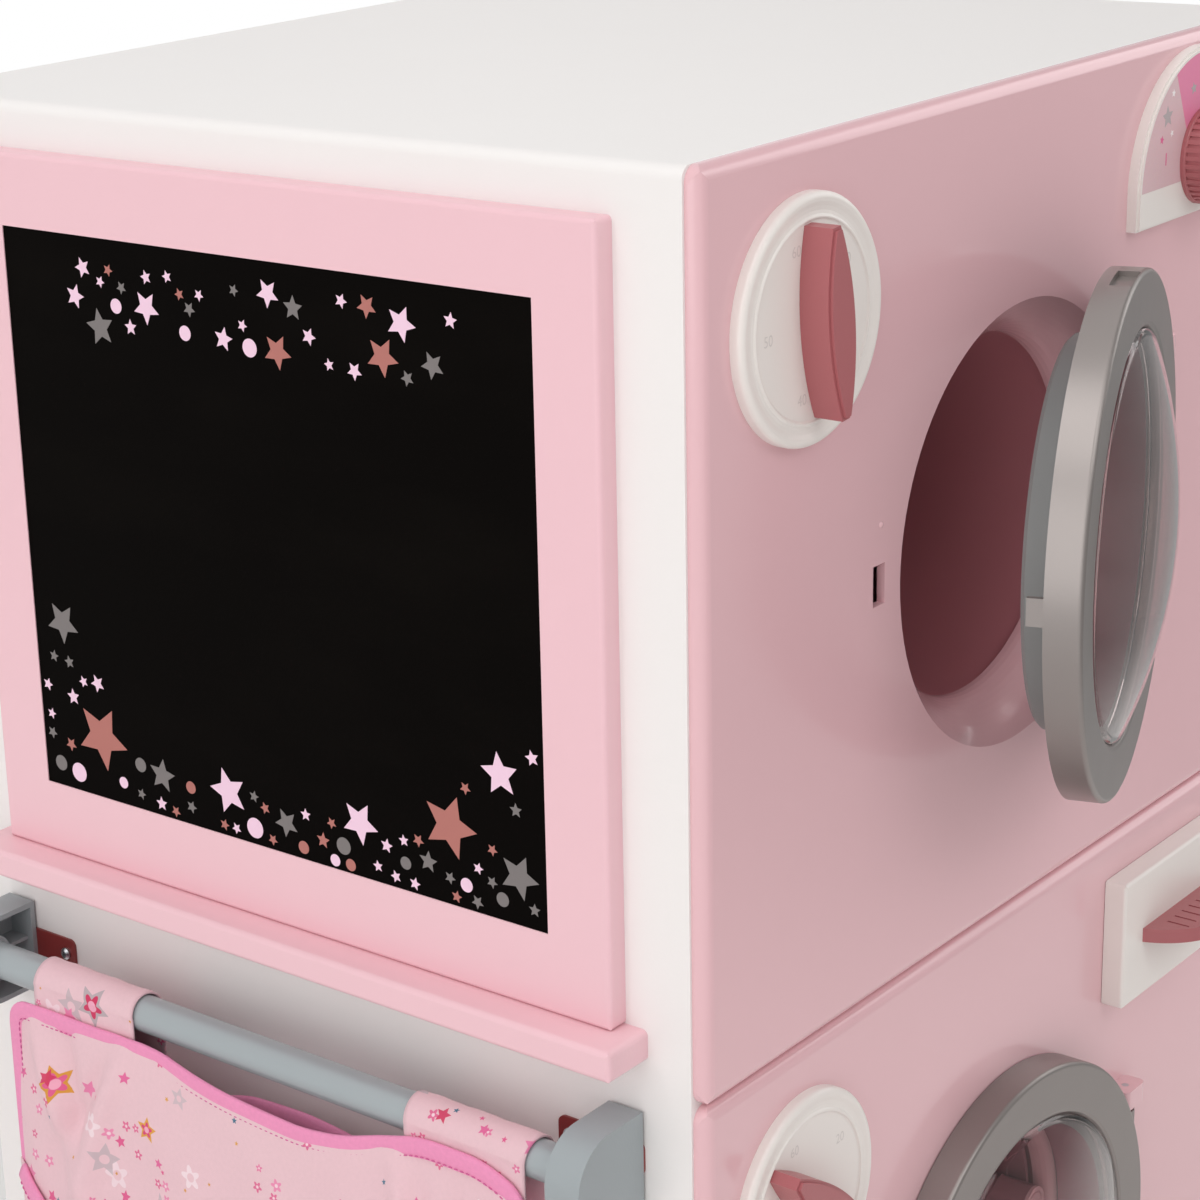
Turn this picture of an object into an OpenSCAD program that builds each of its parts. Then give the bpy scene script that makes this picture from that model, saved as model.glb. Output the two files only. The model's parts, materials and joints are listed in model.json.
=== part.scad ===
// Toy laundry centre: a white board cabinet with two moulded fronts, round
// doors, a chalkboard and a cloth bag on a rail. Millimetres, Z up, the front
// faces -Y. The pieces are drawn about the cabinet's middle, and placed() then
// sets the origin under the middle of the whole object, its open door included.

/* [Cabinet] */
// Width across the outer faces of the side boards
cabinet_w = 570; // [540:5:660]
// Depth of the side boards
cabinet_d = 500; // [440:5:600]
// Height of one moulded front
front_h = 443; // [425:1:500]
// Gap between the upper and the lower front
seam_gap = 1.5; // [1:0.5:4]
// Height of the lower front's bottom edge above the floor
base_gap = 12.5; // [8:0.5:30]
// Thickness of the melamine boards
board_t = 15; // [14:0.5:18]
// Thickness of the back sheet
back_t = 3; // [2.5:0.5:5]
// Rounding along the sides of the top board
top_edge_r = 6; // [2:0.5:7]
// Height of the bottom board's underside above the floor
bottom_board_z = 24; // [18:1:40]
// Height of the nail-in glides
glide_h = 5; // [3:1:8]
// Diameter of the nail-in glides
glide_d = 13; // [10:1:14]

/* [Board joints] */
// Distance of the joints from the front and back edges
joint_inset = 60; // [45:5:120]
// Diameter of a cam lock
cam_d = 15; // [12:1:16]
// Depth of a cam lock in its board
cam_depth = 12; // [10:0.5:12.5]
// Distance of a cam's centre from the joint
cam_offset = 34; // [24:1:40]
// Diameter of a cam bolt
cam_bolt_d = 7; // [5:0.5:8]
// Depth of a cam bolt's thread in the facing board
cam_bolt_grip = 8; // [6:0.5:10]

/* [Moulded fronts] */
// How far the fronts stand in front of the boards
front_depth = 8; // [7:0.5:12]
// Rounding of the fronts' edges
front_edge_r = 6.5; // [3:0.5:7]
// Wall of the mouldings
front_wall = 3; // [2.5:0.25:4]
// Inset of the fronts from the outer faces of the side boards
front_inset = 1.5; // [0:0.5:3]
// Height of the side tabs that screw to the boards
tab_h = 26; // [18:1:40]
// Reach of the side tabs behind the boards' front edges
tab_reach = 26; // [18:1:40]
// Height of the back sheet's overlap with the top board
back_rise = 9; // [8:0.5:11]

/* [Porthole] */
// Distance of the upper porthole's centre below the top of its front
upper_port_drop = 228.6; // [215:0.1:240]
// Distance of the lower porthole's centre below the top of its front
lower_port_drop = 232; // [225:0.1:240]
// Radius of the throat where it meets the face
throat_r = 117; // [112:0.5:122]
// Radius of the throat's inner end
mouth_r = 96; // [92:0.5:99]
// Depth of the throat behind the face
throat_depth = 28; // [24:0.5:36]
// Height of the latch dimple's bead above the face
bead_h = 1; // [0.5:0.1:2]

/* [Doors] */
// Outer radius of a door's bezel
bezel_r = 135; // [126:0.5:136]
// Thickness of a bezel
bezel_t = 18.6; // [14:0.2:24]
// Radius of the window opening in a bezel
window_r = 105; // [98:0.5:108]
// Rounding of a bezel's front edge
bezel_edge_r = 2.5; // [1:0.5:5]
// Gap between a closed bezel and the face
door_gap = 0.6; // [0.4:0.1:1]
// Outer radius of the ring behind a bezel
back_ring_r = 101; // [99:0.5:103]
// Radial width of the ring behind a bezel
back_ring_w = 3.5; // [3:0.5:12]
// Reach of that ring behind the bezel
back_ring_reach = 17.5; // [10:0.5:18]
// Height of the window's dome in front of the bezel
dome_h = 20; // [10:0.5:26]
// Thickness of the window
window_t = 2.4; // [1.5:0.1:3]
// Opening angle of the upper door as it stands
upper_door_open = 17.4; // [0:0.1:60]
// Distance of the hinge axis from the porthole's axis
hinge_x = 133; // [131:0.5:136]
// Distance of the hinge axis in front of the face
hinge_y = 6.6; // [6.2:0.1:7.5]
// Radius of a door's hinge barrel
barrel_r = 5.8; // [5:0.1:6]
// Half length of a door's hinge barrel
barrel_half = 58; // [48:0.5:60]
// Length of a hinge knuckle on a front
knuckle_l = 12; // [10:1:30]
// Half thickness of a hinge knuckle
knuckle_r = 7; // [6.5:0.1:8]
// Reach of a hinge knuckle from the axis towards the porthole
knuckle_in = 10; // [8:0.5:10]
// Reach of a hinge knuckle from the axis away from the porthole
knuckle_out = 12; // [7:0.5:16]
// Diameter of the hinge pins
pin_d = 4; // [3:0.5:5]
// Half height of the latch tab
latch_half = 7; // [5:0.5:10]
// Reach of the latch tab behind a bezel
latch_reach = 8; // [4:0.5:9]
// Height of the latch tab's middle above the porthole's centre
latch_lift = 1.2; // [-4:0.2:4]
// Width of the latch slot in a front
slot_w = 10.7; // [6:0.1:14]
// Height of the latch slot in a front
slot_h = 20.6; // [18:0.2:24]
// Height of the slot's middle above the latch tab's middle
slot_lift = 2.8; // [0:0.2:3]
// Width of the grip pockets in the upper door's rim
grip_w = 26; // [14:1:36]
// Depth of the grip pockets along the rim's wall
grip_d = 11; // [6:0.5:12]
// Turn of the grip pockets from upright
grip_turn = 4; // [-10:0.5:10]

/* [Tubs and drum] */
// Inner radius of the tubs
tub_r = 100; // [98:0.5:104]
// Depth of the tubs behind their flange
tub_depth = 225; // [150:5:260]
// Wall of the tubs
tub_wall = 2.5; // [2:0.1:4]
// Width of a tub's flange
flange_w = 16; // [12:1:20]
// Inner radius of the drum
drum_r = 93.5; // [90:0.5:94]
// Wall of the drum
drum_wall = 2.5; // [2:0.1:3]
// Length of the drum
drum_l = 190; // [120:5:205]
// Width of one of the drum's ribs
drum_rib_w = 12; // [8:1:20]
// Number of lifters in the drum
lifters = 3; // [2:1:5]
// Radius of a lifter
lifter_r = 11; // [8:0.2:12]
// Reach of a lifter in front of the drum
lifter_over = 12; // [4:0.5:14]
// Turn of the first lifter from +X
lifter_turn = 5; // [0:1:90]
// Diameter of the drum's shaft
shaft_d = 8; // [6:0.5:10]

/* [Timer dials] */
// Distance of a dial's middle from the cabinet's side
dial_inset = 81; // [75:1:90]
// Distance of a dial below the top of its front
dial_drop = 81; // [75:1:85]
// Radius of a dial
dial_r = 58; // [54:0.5:62]
// Thickness of a dial at its rim
dial_t = 6.5; // [5:0.5:9]
// Width of a dial's raised rim
dial_rim = 11; // [8:0.5:14]
// Length of a bar knob
bar_l = 89.5; // [70:0.5:94]
// Width of a bar knob at its middle
bar_w = 21; // [16:0.5:26]
// Width of a bar knob at its cut ends
bar_end = 6; // [4:0.5:10]
// Height of a bar knob over its dial
bar_h = 16.5; // [10:0.5:20]
// Turn of the upper bar knob, anticlockwise from upright
upper_bar_turn = 5.6; // [-90:0.1:90]
// Turn of the lower bar knob, anticlockwise from upright
lower_bar_turn = 48.6; // [-90:0.1:90]

/* [Temperature dial] */
// Distance of the half-round plate's middle from the cabinet's side
plate_inset = 107.5; // [100:0.5:115]
// Distance of the plate's arc centre below the top of the front
plate_drop = 78; // [78:0.5:95]
// Radius of the plate's arc
plate_r = 71; // [64:0.5:72]
// Straight height below the arc's centre
plate_foot = 18; // [12:1:24]
// Thickness of the plate
plate_t = 7; // [5:0.5:9]
// Inset of the label from the plate's edge
label_inset = 2.5; // [2:0.5:6]
// Height of the label's straight edge over the arc's centre
label_rise = 2; // [0:0.5:6]
// Radius of the ribbed knob
ribbed_r = 26; // [20:0.5:30]
// Height of the ribbed knob
ribbed_h = 20; // [12:0.5:28]
// Number of ribs on the ribbed knob
ribs = 36; // [20:1:48]
// Height of the ribbed knob's axis above the plate's arc centre
ribbed_lift = 12.5; // [8:0.5:20]

/* [Drawer] */
// Width of the drawer's front
drawer_w = 133; // [120:1:138]
// Height of the drawer's front
drawer_h = 77; // [70:1:80]
// Thickness of the drawer's front
drawer_t = 13; // [9:0.5:16]
// Distance of the drawer front's top below the top of its front
drawer_drop = 24; // [18:1:30]
// Depth of the drawer's tray
tray_d = 130; // [90:5:180]
// Wall of the tray and of its housing
tray_wall = 2; // [1.5:0.1:2.5]
// Overlap of the drawer's front over the tray
drawer_lip = 9; // [7:0.5:12]
// Half width of the scoop handle
handle_half = 44; // [35:0.5:50]
// Reach of the scoop handle
handle_reach = 32; // [20:0.5:38]
// Thickness of the scoop handle's edge
handle_t = 8.4; // [6:0.2:12]

/* [Chalkboard] */
// Width of the chalkboard frame
frame_w = 416; // [360:1:440]
// Distance of the frame's top below the cabinet's top
frame_drop = 24; // [18:1:60]
// Width of the visible chalkboard
slate_w = 344; // [280:1:350]
// Height of the visible chalkboard
slate_h = 307; // [240:1:310]
// Width of the frame above the chalkboard
frame_head = 38; // [25:1:50]
// Width of the frame below the chalkboard
frame_foot = 41; // [30:1:60]
// Thickness of the frame
frame_t = 12; // [9:0.5:15]
// Rounding of the frame's edges
frame_edge_r = 2.5; // [1:0.5:4]
// Thickness of the chalkboard sheet
slate_t = 3; // [2:0.5:5]
// How far the chalkboard sheet lies behind the frame's face
slate_recess = 0.6; // [0.2:0.1:1.5]
// Place of the frame's middle along the side board
frame_y = -5; // [-10:1:10]
// Reach of the ledge from the side board
ledge_reach = 31; // [24:1:40]
// Height of the ledge
ledge_h = 16; // [12:1:20]
// Overhang of the ledge past the frame at each end
ledge_over = 12.5; // [8:0.5:14]

/* [Rail] */
// Diameter of the rail
rail_d = 20; // [16:0.5:22]
// Wall of the rail tube
rail_wall = 1.2; // [1:0.1:2]
// Distance from a bracket's inner face to the side board's edge
rail_inset = 48.5; // [42:0.5:60]
// Place of the rail's middle along the side board
rail_y = -1.5; // [-6:0.5:6]
// Distance of the rail's axis below the ledge
rail_drop = 49.5; // [45:0.5:70]
// Distance of the rail's axis from the side board
rail_out = 34; // [30:0.5:40]
// Height of a bracket
bracket_h = 52; // [46:1:60]
// Reach of a bracket from the side board
bracket_out = 53; // [50:1:60]
// Width of a bracket along the rail
bracket_w = 20; // [16:1:26]
// Wall of a bracket
bracket_wall = 3; // [2:0.25:4]
// Height of a mounting plate
strap_h = 18; // [14:1:24]
// Reach of a mounting plate beyond its bracket
strap_reach = 31; // [24:1:40]
// Thickness of a mounting plate
strap_t = 1.5; // [1:0.1:2]

/* [Bag] */
// Room beside the bag, between its two sides and the brackets
bag_slack = 41; // [20:1:80]
// Distance of the bag's middle in front of the rail's middle
bag_shift = 5.5; // [-8:0.5:8]
// Height of the bag below the rail's axis
bag_drop = 308; // [240:2:340]
// Thickness of the bag's cloth with its lining
bag_cloth = 2; // [1.5:0.1:3]
// Width of a loop
loop_w = 76; // [60:1:80]
// Gap between the bag's rear side and the rear loop
rear_loop_in = 17; // [0.5:0.5:40]
// Gap between the bag's front side and the front loop
front_loop_in = 0.5; // [0.5:0.5:40]
// Height of the pocket at the bag's sides
pocket_h = 198; // [150:1:210]
// How far the pocket's open edge hangs down in the middle
pocket_sag = 60; // [20:1:80]

/* [Screws] */
// Diameter of the cross-head screws
screw_d = 3.5; // [3:0.25:4]
// Diameter of their heads
screw_head_d = 7; // [6:0.25:8]
// Height of their heads
screw_head_h = 2.2; // [1.8:0.1:3]
// Grip of the back screws in their boards
back_grip = 14; // [8:0.5:16]

/* [Hidden] */

$fn = 64;
eps = 0.01;                 // overlap of pieces of one solid
far = 2000;                 // longer than the whole cabinet
fit = 0.05;                 // radial room of a running or pushed fit
cloth_gap = 0.3;            // room between cloth and its neighbours
seat = 0.2;                 // room round a piece that sits in a pocket

half_w = cabinet_w / 2;
half_d = cabinet_d / 2;
inner_x = half_w - board_t;
dial_x = half_w - dial_inset;
plate_x = half_w - plate_inset;
total_h = base_gap + 2 * front_h + seam_gap;
side_top = total_h - board_t;
shelf_z = base_gap + front_h + seam_gap / 2 - board_t / 2;
board_front = -half_d;
face_y = board_front - front_depth;
skin_y = face_y + front_wall;
lower_top = base_gap + front_h;
upper_port_z = total_h - upper_port_drop;
lower_port_z = lower_top - lower_port_drop;
throat_end = face_y + throat_depth;
tub_front = throat_end + front_wall;
flange_r = tub_r + flange_w;
screw_l = 12;
long_screw_l = board_t + 7;
screw_bore = screw_d + 2 * fit;
hinge_axis_y = face_y - hinge_y;
bezel_back = face_y - door_gap;
bezel_front = bezel_back - bezel_t;

// Colours, as the object shows them
white = "#F3F1EF";
pink = "#E8BCC4";
rose = "#B06A6A";
dark_rose = "#5E353D";
silver = "#A39B98";
rail_grey = "#A5ACAE";
steel = "#C9CCD0";
wine = "#7E2E2E";
cloth_pink = "#EBC6CE";
hot_pink = "#F494BE";

// ---- shared shapes ----

// Children, and their mirror image on the other side of the cabinet
module both_sides() {
  children();
  mirror([1, 0, 0]) children();
}

// A flat rectangle with round corners, centred
module round_rect(w, h, r) {
  square([w - 2 * r, h], center = true);
  square([w, h - 2 * r], center = true);
  for (x = [-1, 1], y = [-1, 1]) translate([x * (w / 2 - r), y * (h / 2 - r)]) circle(r);
}

// A bar along +Y with its base at y = 0, from a shape drawn in X and Z
module along_y(length) {
  rotate([90, 0, 0]) mirror([0, 0, 1]) linear_extrude(length) children();
}

// A bar along X, centred, from a shape drawn in Y and Z
module along_x(length) {
  rotate([90, 0, 90]) translate([0, 0, -length / 2]) linear_extrude(length) children();
}

// A solid turned about the Y axis through the origin; the profile holds
// [radius, y] points, with y growing towards the back
module turned_y(profile, angle = 360) {
  rotate([-90, 0, 0]) rotate_extrude(angle = angle, $fn = 128) polygon(profile);
}

// A cylinder along +Y from y = 0
module rod_y(r, length, facets = 64) {
  rotate([-90, 0, 0]) cylinder(r = r, h = length, $fn = facets);
}

// A ring along +Y from y = 0
module ring_y(r_out, r_in, length) {
  difference() {
    rod_y(r_out, length);
    translate([0, -1, 0]) rod_y(r_in, length + 2);
  }
}

// A cross-head screw: the head's underside at z = 0, the shank along -Z
module screw(length = screw_l) {
  slot_w = screw_head_d / 7;
  difference() {
    union() {
      cylinder(d = screw_head_d, h = screw_head_h * 0.5);
      translate([0, 0, screw_head_h * 0.5 - eps])
        cylinder(d1 = screw_head_d, d2 = screw_head_d * 0.6, h = screw_head_h * 0.5 + eps);
      translate([0, 0, -length]) cylinder(d = screw_d, h = length + eps);
    }
    for (a = [0, 90]) rotate(a) translate([0, 0, screw_head_h])
      cube([screw_head_d * 0.55, slot_w, screw_head_h], center = true);
  }
}

// The bore that a screw of that length needs
module screw_hole(length = screw_l) {
  translate([0, 0, -length - seat]) cylinder(d = screw_bore, h = length + seat + 1);
}

// ---- places ----

// From the cabinet's middle to the middle of the whole object
module placed() {
  translate([(left_reach - half_w) / 2, (front_reach - back_reach) / 2, 0]) children();
}

module at_upper_port() { translate([0, 0, upper_port_z]) children(); }
module at_lower_port() { translate([0, 0, lower_port_z]) children(); }

// The upper door turned open about its hinge
module upper_door_turned() {
  translate([hinge_x, hinge_axis_y, upper_port_z]) rotate(upper_door_open)
    translate([-hinge_x, -hinge_axis_y, 0]) children();
}

// Joints between the top board and the sides: local Z runs down from the
// joint into the side board, and the cam opens towards the cabinet's middle
module at_top_joints() {
  both_sides() for (y = [-1, 1])
    translate([half_w - board_t / 2, y * (half_d - joint_inset), side_top]) rotate([180, 0, 0]) children();
}

// Joints between a lying board and the sides: local Z runs into the board,
// and the cam opens downwards
module at_board_joints(z) {
  both_sides() for (y = [-1, 1])
    translate([inner_x, y * (half_d - joint_inset), z + board_t / 2]) rotate([0, -90, 0]) children();
}

module at_all_joints() {
  at_top_joints() children();
  at_board_joints(bottom_board_z) children();
  at_board_joints(shelf_z) children();
}

module joint_bores() {
  translate([0, 0, -cam_bolt_grip - seat]) cylinder(d = cam_bolt_d + 2 * fit, h = cam_offset + cam_bolt_grip);
  translate([-board_t / 2 - 1, 0, cam_offset]) rotate([0, 90, 0])
    cylinder(d = cam_d + 2 * fit, h = cam_depth + seat + 1);
}

// Side tabs of both fronts: local Z points to the cabinet's middle, from the
// tab's inner face, where the screw head sits
module at_tabs(front_bottom) {
  for (z = [front_bottom + front_h * 0.12, front_bottom + front_h * 0.88])
    both_sides() translate([inner_x - seat - front_wall, board_front + tab_reach / 2, z])
      rotate([0, -90, 0]) children();
}

module at_back_screws() {
  heights = [bottom_board_z + board_t / 2, shelf_z + board_t / 2, side_top + back_rise / 2];
  for (x = [-0.75, 0, 0.75], z = heights)
    translate([x * inner_x, half_d, z]) rotate([-90, 0, 0]) children();
}

module at_tub_screws(port_z) {
  for (a = [30:60:359])
    translate([0, tub_front + tub_wall, port_z]) rotate([0, a, 0])
      translate([tub_r + flange_w * 0.6, 0, 0]) rotate([-90, 0, 0]) children();
}

// ---- cabinet ----

module side_panel_blank() {
  translate([inner_x, -half_d, glide_h]) cube([board_t, cabinet_d, side_top - glide_h]);
}

module left_side_panel() placed() color(white) difference() {
  mirror([1, 0, 0]) side_panel_blank();
  at_all_joints() joint_bores();
  at_tabs(base_gap) screw_hole();
  at_tabs(lower_top + seam_gap) screw_hole();
  at_straps() screw_hole();
  at_board_screws() screw_hole(long_screw_l);
}

module right_side_panel() placed() color(white) difference() {
  side_panel_blank();
  at_all_joints() joint_bores();
  at_tabs(base_gap) screw_hole();
  at_tabs(lower_top + seam_gap) screw_hole();
}

// The top board's long edges are rounded above, and a rebate takes the back sheet
module top_panel() placed() color(white) difference() {
  translate([0, -half_d, side_top]) along_y(cabinet_d) intersection() {
    translate([0, board_t / 2 - top_edge_r]) round_rect(cabinet_w, board_t + 2 * top_edge_r, top_edge_r);
    translate([-half_w, 0]) square([cabinet_w, board_t]);
  }
  translate([-inner_x, half_d - back_t, side_top - 1]) cube([2 * inner_x, back_t + 1, back_rise + 1]);
  at_top_joints() joint_bores();
  at_back_screws() screw_hole(back_t + back_grip);
}

module lying_board(z) {
  difference() {
    translate([-inner_x, -half_d, z]) cube([2 * inner_x, cabinet_d - back_t, board_t]);
    at_board_joints(z) joint_bores();
    at_back_screws() screw_hole(back_t + back_grip);
  }
}

module bottom_panel() placed() color(white) lying_board(bottom_board_z);

module middle_shelf() placed() color(white) lying_board(shelf_z);

module back_panel() placed() color(white) difference() {
  translate([-inner_x, half_d - back_t, bottom_board_z]) 
    cube([2 * inner_x, back_t, side_top + back_rise - bottom_board_z]);
  at_back_screws() screw_hole(back_t + back_grip);
}

// A cam lock has a radial hole for the head of its bolt
module cam_locks() placed() color(steel) at_all_joints() difference() {
  translate([-board_t / 2, 0, cam_offset]) rotate([0, 90, 0]) cylinder(d = cam_d, h = cam_depth);
  translate([0, 0, cam_offset - cam_d]) cylinder(d = cam_bolt_d + 2 * fit, h = cam_d + cam_bolt_d / 2);
  translate([-board_t / 2 - 1, 0, cam_offset]) cube([4, cam_d * 0.7, 1.6], center = true);
}

module cam_bolts() placed() color(steel) at_all_joints() translate([0, 0, -cam_bolt_grip])
  cylinder(d = cam_bolt_d, h = cam_offset + cam_bolt_grip);

module glides() placed() color(silver) both_sides() for (y = [-1, 1])
  translate([half_w - board_t / 2, y * (half_d - joint_inset), 0]) {
    cylinder(d1 = glide_d - 2, d2 = glide_d, h = 1 + eps);
    translate([0, 0, 1]) cylinder(d = glide_d, h = glide_h - 1);
  }

module back_screws() placed() color(steel) at_back_screws() screw(back_t + back_grip);

// ---- moulded fronts ----

// The rounded block that a front is cut from: every front edge is round
module front_block(shrink, depth) {
  w = cabinet_w - 2 * front_inset - 2 * shrink;
  h = front_h - 2 * shrink;
  r = front_edge_r;
  intersection() {
    translate([0, board_front - depth, 0]) along_y(depth) round_rect(w, h, r + 1.5);
    translate([0, 0, -h / 2]) linear_extrude(h) translate([0, board_front]) round_rect(w, 2 * depth, r);
    along_x(w) translate([board_front, 0]) round_rect(2 * depth, h, r);
  }
}

// The throat is a flared bowl that runs from the face to the tub
function flare(depth) = mouth_r + (throat_r - mouth_r) * pow(1 - depth / throat_depth, 1.6);
flare_steps = 10;
flare_depths = [for (i = [0:flare_steps]) throat_depth * i / flare_steps];
lip_r = front_wall;

module throat_solid() {
  profile = concat(
    [for (d = flare_depths) [flare(d), face_y + d]],
    [[mouth_r, tub_front], [flange_r, tub_front], [flange_r, throat_end]],
    [for (i = [flare_steps - 1:-1:0]) let (d = flare_depths[i]) [flare(d) + front_wall, face_y + d]]);
  turned_y(profile);
}

// Room for the throat in the face, with a rounded lip
module throat_room() {
  lip = [for (a = [0:15:90]) [throat_r + lip_r * (1 - cos(a)), face_y + lip_r * (1 - sin(a))]];
  turned_y(concat([[0, face_y - 1], [throat_r + lip_r, face_y - 1]],
    [for (i = [len(lip) - 1:-1:0]) lip[i]], [[throat_r, throat_end], [0, throat_end]]));
}

// A knuckle is a block with round corners
module knuckle(z) {
  translate([hinge_x + (knuckle_out - knuckle_in) / 2, hinge_axis_y, z]) linear_extrude(knuckle_l)
    round_rect(knuckle_in + knuckle_out, 2 * knuckle_r, knuckle_r - 3);
}

knuckle_z = barrel_half + 2;

module knuckles() {
  knuckle(knuckle_z);
  knuckle(-knuckle_z - knuckle_l);
}

// The slot's inner edge clears the latch tab by 0.6 mm
module latch_slot() {
  translate([latch_x + latch_t + 0.6 - slot_w, face_y - 1, latch_lift + slot_lift - slot_h / 2])
    cube([slot_w, front_wall + 2, slot_h]);
}

// One front: a hollow moulding with a throat, hinge knuckles, tabs and bosses
module front_shell(bottom, port_z) {
  difference() {
    union() {
      difference() {
        translate([0, 0, bottom + front_h / 2]) front_block(0, front_depth);
        translate([0, 0, bottom + front_h / 2]) front_cavity();
        translate([0, 0, port_z]) throat_room();
      }
      translate([0, 0, port_z]) difference() {
        union() {
          throat_solid();
          knuckles();
        }
        translate([hinge_x, hinge_axis_y, -far / 2]) cylinder(d = pin_d + 2 * fit, h = far);
      }
      translate([-bezel_r, face_y + 1, port_z + 34]) sphere(r = 1 + bead_h);
      both_sides() for (z = [bottom + front_h * 0.12, bottom + front_h * 0.88])
        translate([inner_x - seat - front_wall, skin_y - eps, z - tab_h / 2])
          cube([front_wall, board_front + tab_reach - skin_y, tab_h]);
    }
    translate([0, 0, port_z]) latch_slot();
    translate([0, 0, port_z]) throat_cut();
    at_tabs(bottom) screw_hole();
    at_tub_screws(port_z) screw_hole(tub_wall + front_wall);
  }
}

// The hollow behind a front's skin stops round the throat's outer wall
module front_cavity() {
  w = cabinet_w - 2 * front_inset - 2 * front_wall;
  h = front_h - 2 * front_wall;
  translate([0, skin_y, 0]) along_y(front_depth) round_rect(w, h, front_depth - front_wall);
}

// What the throat's own opening takes out of the knuckles and the skin
module throat_cut() {
  turned_y(concat([[0, face_y]], [for (d = flare_depths) [flare(d) - eps, face_y + d]], [[0, throat_end]]));
}

module dial_holes(top) {
  translate([-dial_x, face_y - 1, top - dial_drop]) rod_y(boss_r + fit, front_wall + 2);
}

module upper_front() placed() color(pink) difference() {
  front_shell(lower_top + seam_gap, upper_port_z);
  dial_holes(total_h);
  translate([plate_x, face_y - 1, ribbed_z]) rod_y(boss_r + fit, front_wall + 2);
}

module lower_front() placed() color(pink) difference() {
  front_shell(base_gap, lower_port_z);
  dial_holes(lower_top);
  translate([plate_x, face_y - 1, drawer_z]) along_y(front_depth)
    square([housing_w, housing_h], center = true);
}

module front_screws() placed() color(steel) {
  at_tabs(base_gap) screw();
  at_tabs(lower_top + seam_gap) screw();
}

// ---- tubs and drum ----

bush_r = shaft_d / 2 + 4;
tub_back = tub_front + tub_depth;

module tub_shell(back_bore) {
  corner = 30;
  inner = concat([[tub_r, tub_front]],
    [for (a = [0:15:90]) [tub_r - corner * (1 - cos(a)), tub_back - tub_wall - corner * (1 - sin(a))]],
    [[back_bore, tub_back - tub_wall]]);
  outer = concat([[back_bore, tub_back]],
    [for (a = [90:-15:0]) [tub_r + tub_wall - corner * (1 - cos(a)), tub_back - corner * (1 - sin(a))]],
    [[tub_r + tub_wall, tub_front + tub_wall], [flange_r, tub_front + tub_wall], [flange_r, tub_front]]);
  turned_y(concat(inner, outer));
}

module upper_tub() placed() color(dark_rose) difference() {
  at_upper_port() tub_shell(0);
  at_tub_screws(upper_port_z) screw_hole(tub_wall + front_wall);
}

module lower_tub() placed() color(dark_rose) difference() {
  at_lower_port() tub_shell(bush_r + fit);
  at_tub_screws(lower_port_z) screw_hole(tub_wall + front_wall);
}

module tub_screws() placed() color(steel) {
  at_tub_screws(upper_port_z) screw(tub_wall + front_wall);
  at_tub_screws(lower_port_z) screw(tub_wall + front_wall);
}

// The drum is a thin cylinder with ring-shaped ribs, a back and a hub
drum_front = tub_front + 3;
drum_back = drum_front + drum_l;
hub_r = 16;
hub_l = 14;
rib_rise = 1.2;

module drum() placed() color(rose) at_lower_port() difference() {
  rows = floor((drum_l - drum_wall) / (2 * drum_rib_w));
  wave = [for (i = [0:rows - 1], side = [0, 1], end = [0, 1])
    [drum_r - (side == 0 ? 0 : rib_rise), drum_front + (2 * i + side + end) * drum_rib_w
      + (end == 0 ? 0.5 : -0.5)]];
  turned_y(concat([[drum_r + drum_wall, drum_front], [drum_r, drum_front]], wave,
    [[drum_r, drum_back - drum_wall - 3], [drum_r - 3, drum_back - drum_wall],
      [hub_r, drum_back - drum_wall], [hub_r, drum_back - hub_l], [shaft_d / 2, drum_back - hub_l],
      [shaft_d / 2, drum_back], [drum_r + drum_wall, drum_back]]));
  at_lifters() translate([0, drum_back - drum_wall - 1, 0]) rod_y(screw_d / 2, drum_wall + 2);
}

module at_lifters() {
  for (i = [0:lifters - 1]) rotate([0, -lifter_turn - i * 360 / lifters, 0])
    translate([drum_r - rib_rise - lifter_r - fit, 0, 0]) children();
}

cap_t = 2;
cap_front = drum_front - lifter_over;

// A lifter is a round bar with a cap at its front and a peg at its back
module drum_lifters() placed() color(dark_rose) at_lower_port() at_lifters() {
  bar_end_y = drum_back - drum_wall - 3;
  translate([0, cap_front + cap_t, 0]) rod_y(lifter_r, bar_end_y - cap_front - cap_t);
  translate([0, bar_end_y - eps, 0]) rod_y(screw_d / 2, drum_wall + 3);
}

module drum_caps() placed() color(pink) at_lower_port() at_lifters() difference() {
  translate([0, cap_front, 0]) rod_y(lifter_r, cap_t);
  translate([0, cap_front - 1, 0]) ring_y(lifter_r * 0.76, lifter_r * 0.66, cap_t);
}

bush_l = 10;
bush_front = drum_back + 0.5;

module drum_bush() placed() color(white) at_lower_port() difference() {
  translate([0, bush_front, 0]) rod_y(bush_r, tub_back + 2 - bush_front);
  translate([0, bush_front - 1, 0]) rod_y(shaft_d / 2 + fit, far);
}

module drum_shaft() placed() color(steel) at_lower_port() difference() {
  translate([0, drum_back - hub_l, 0]) rod_y(shaft_d / 2, tub_back + 8 - drum_back + hub_l);
  translate([0, tub_back + 3, 0]) ring_y(shaft_d, shaft_d / 2 - 1, 1.6);
}

module drum_clip() placed() color(steel) at_lower_port()
  translate([0, tub_back + 3 + fit, 0]) ring_y(shaft_d / 2 + 4, shaft_d / 2 - 1 + fit, 1.5);

// ---- doors ----

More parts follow.
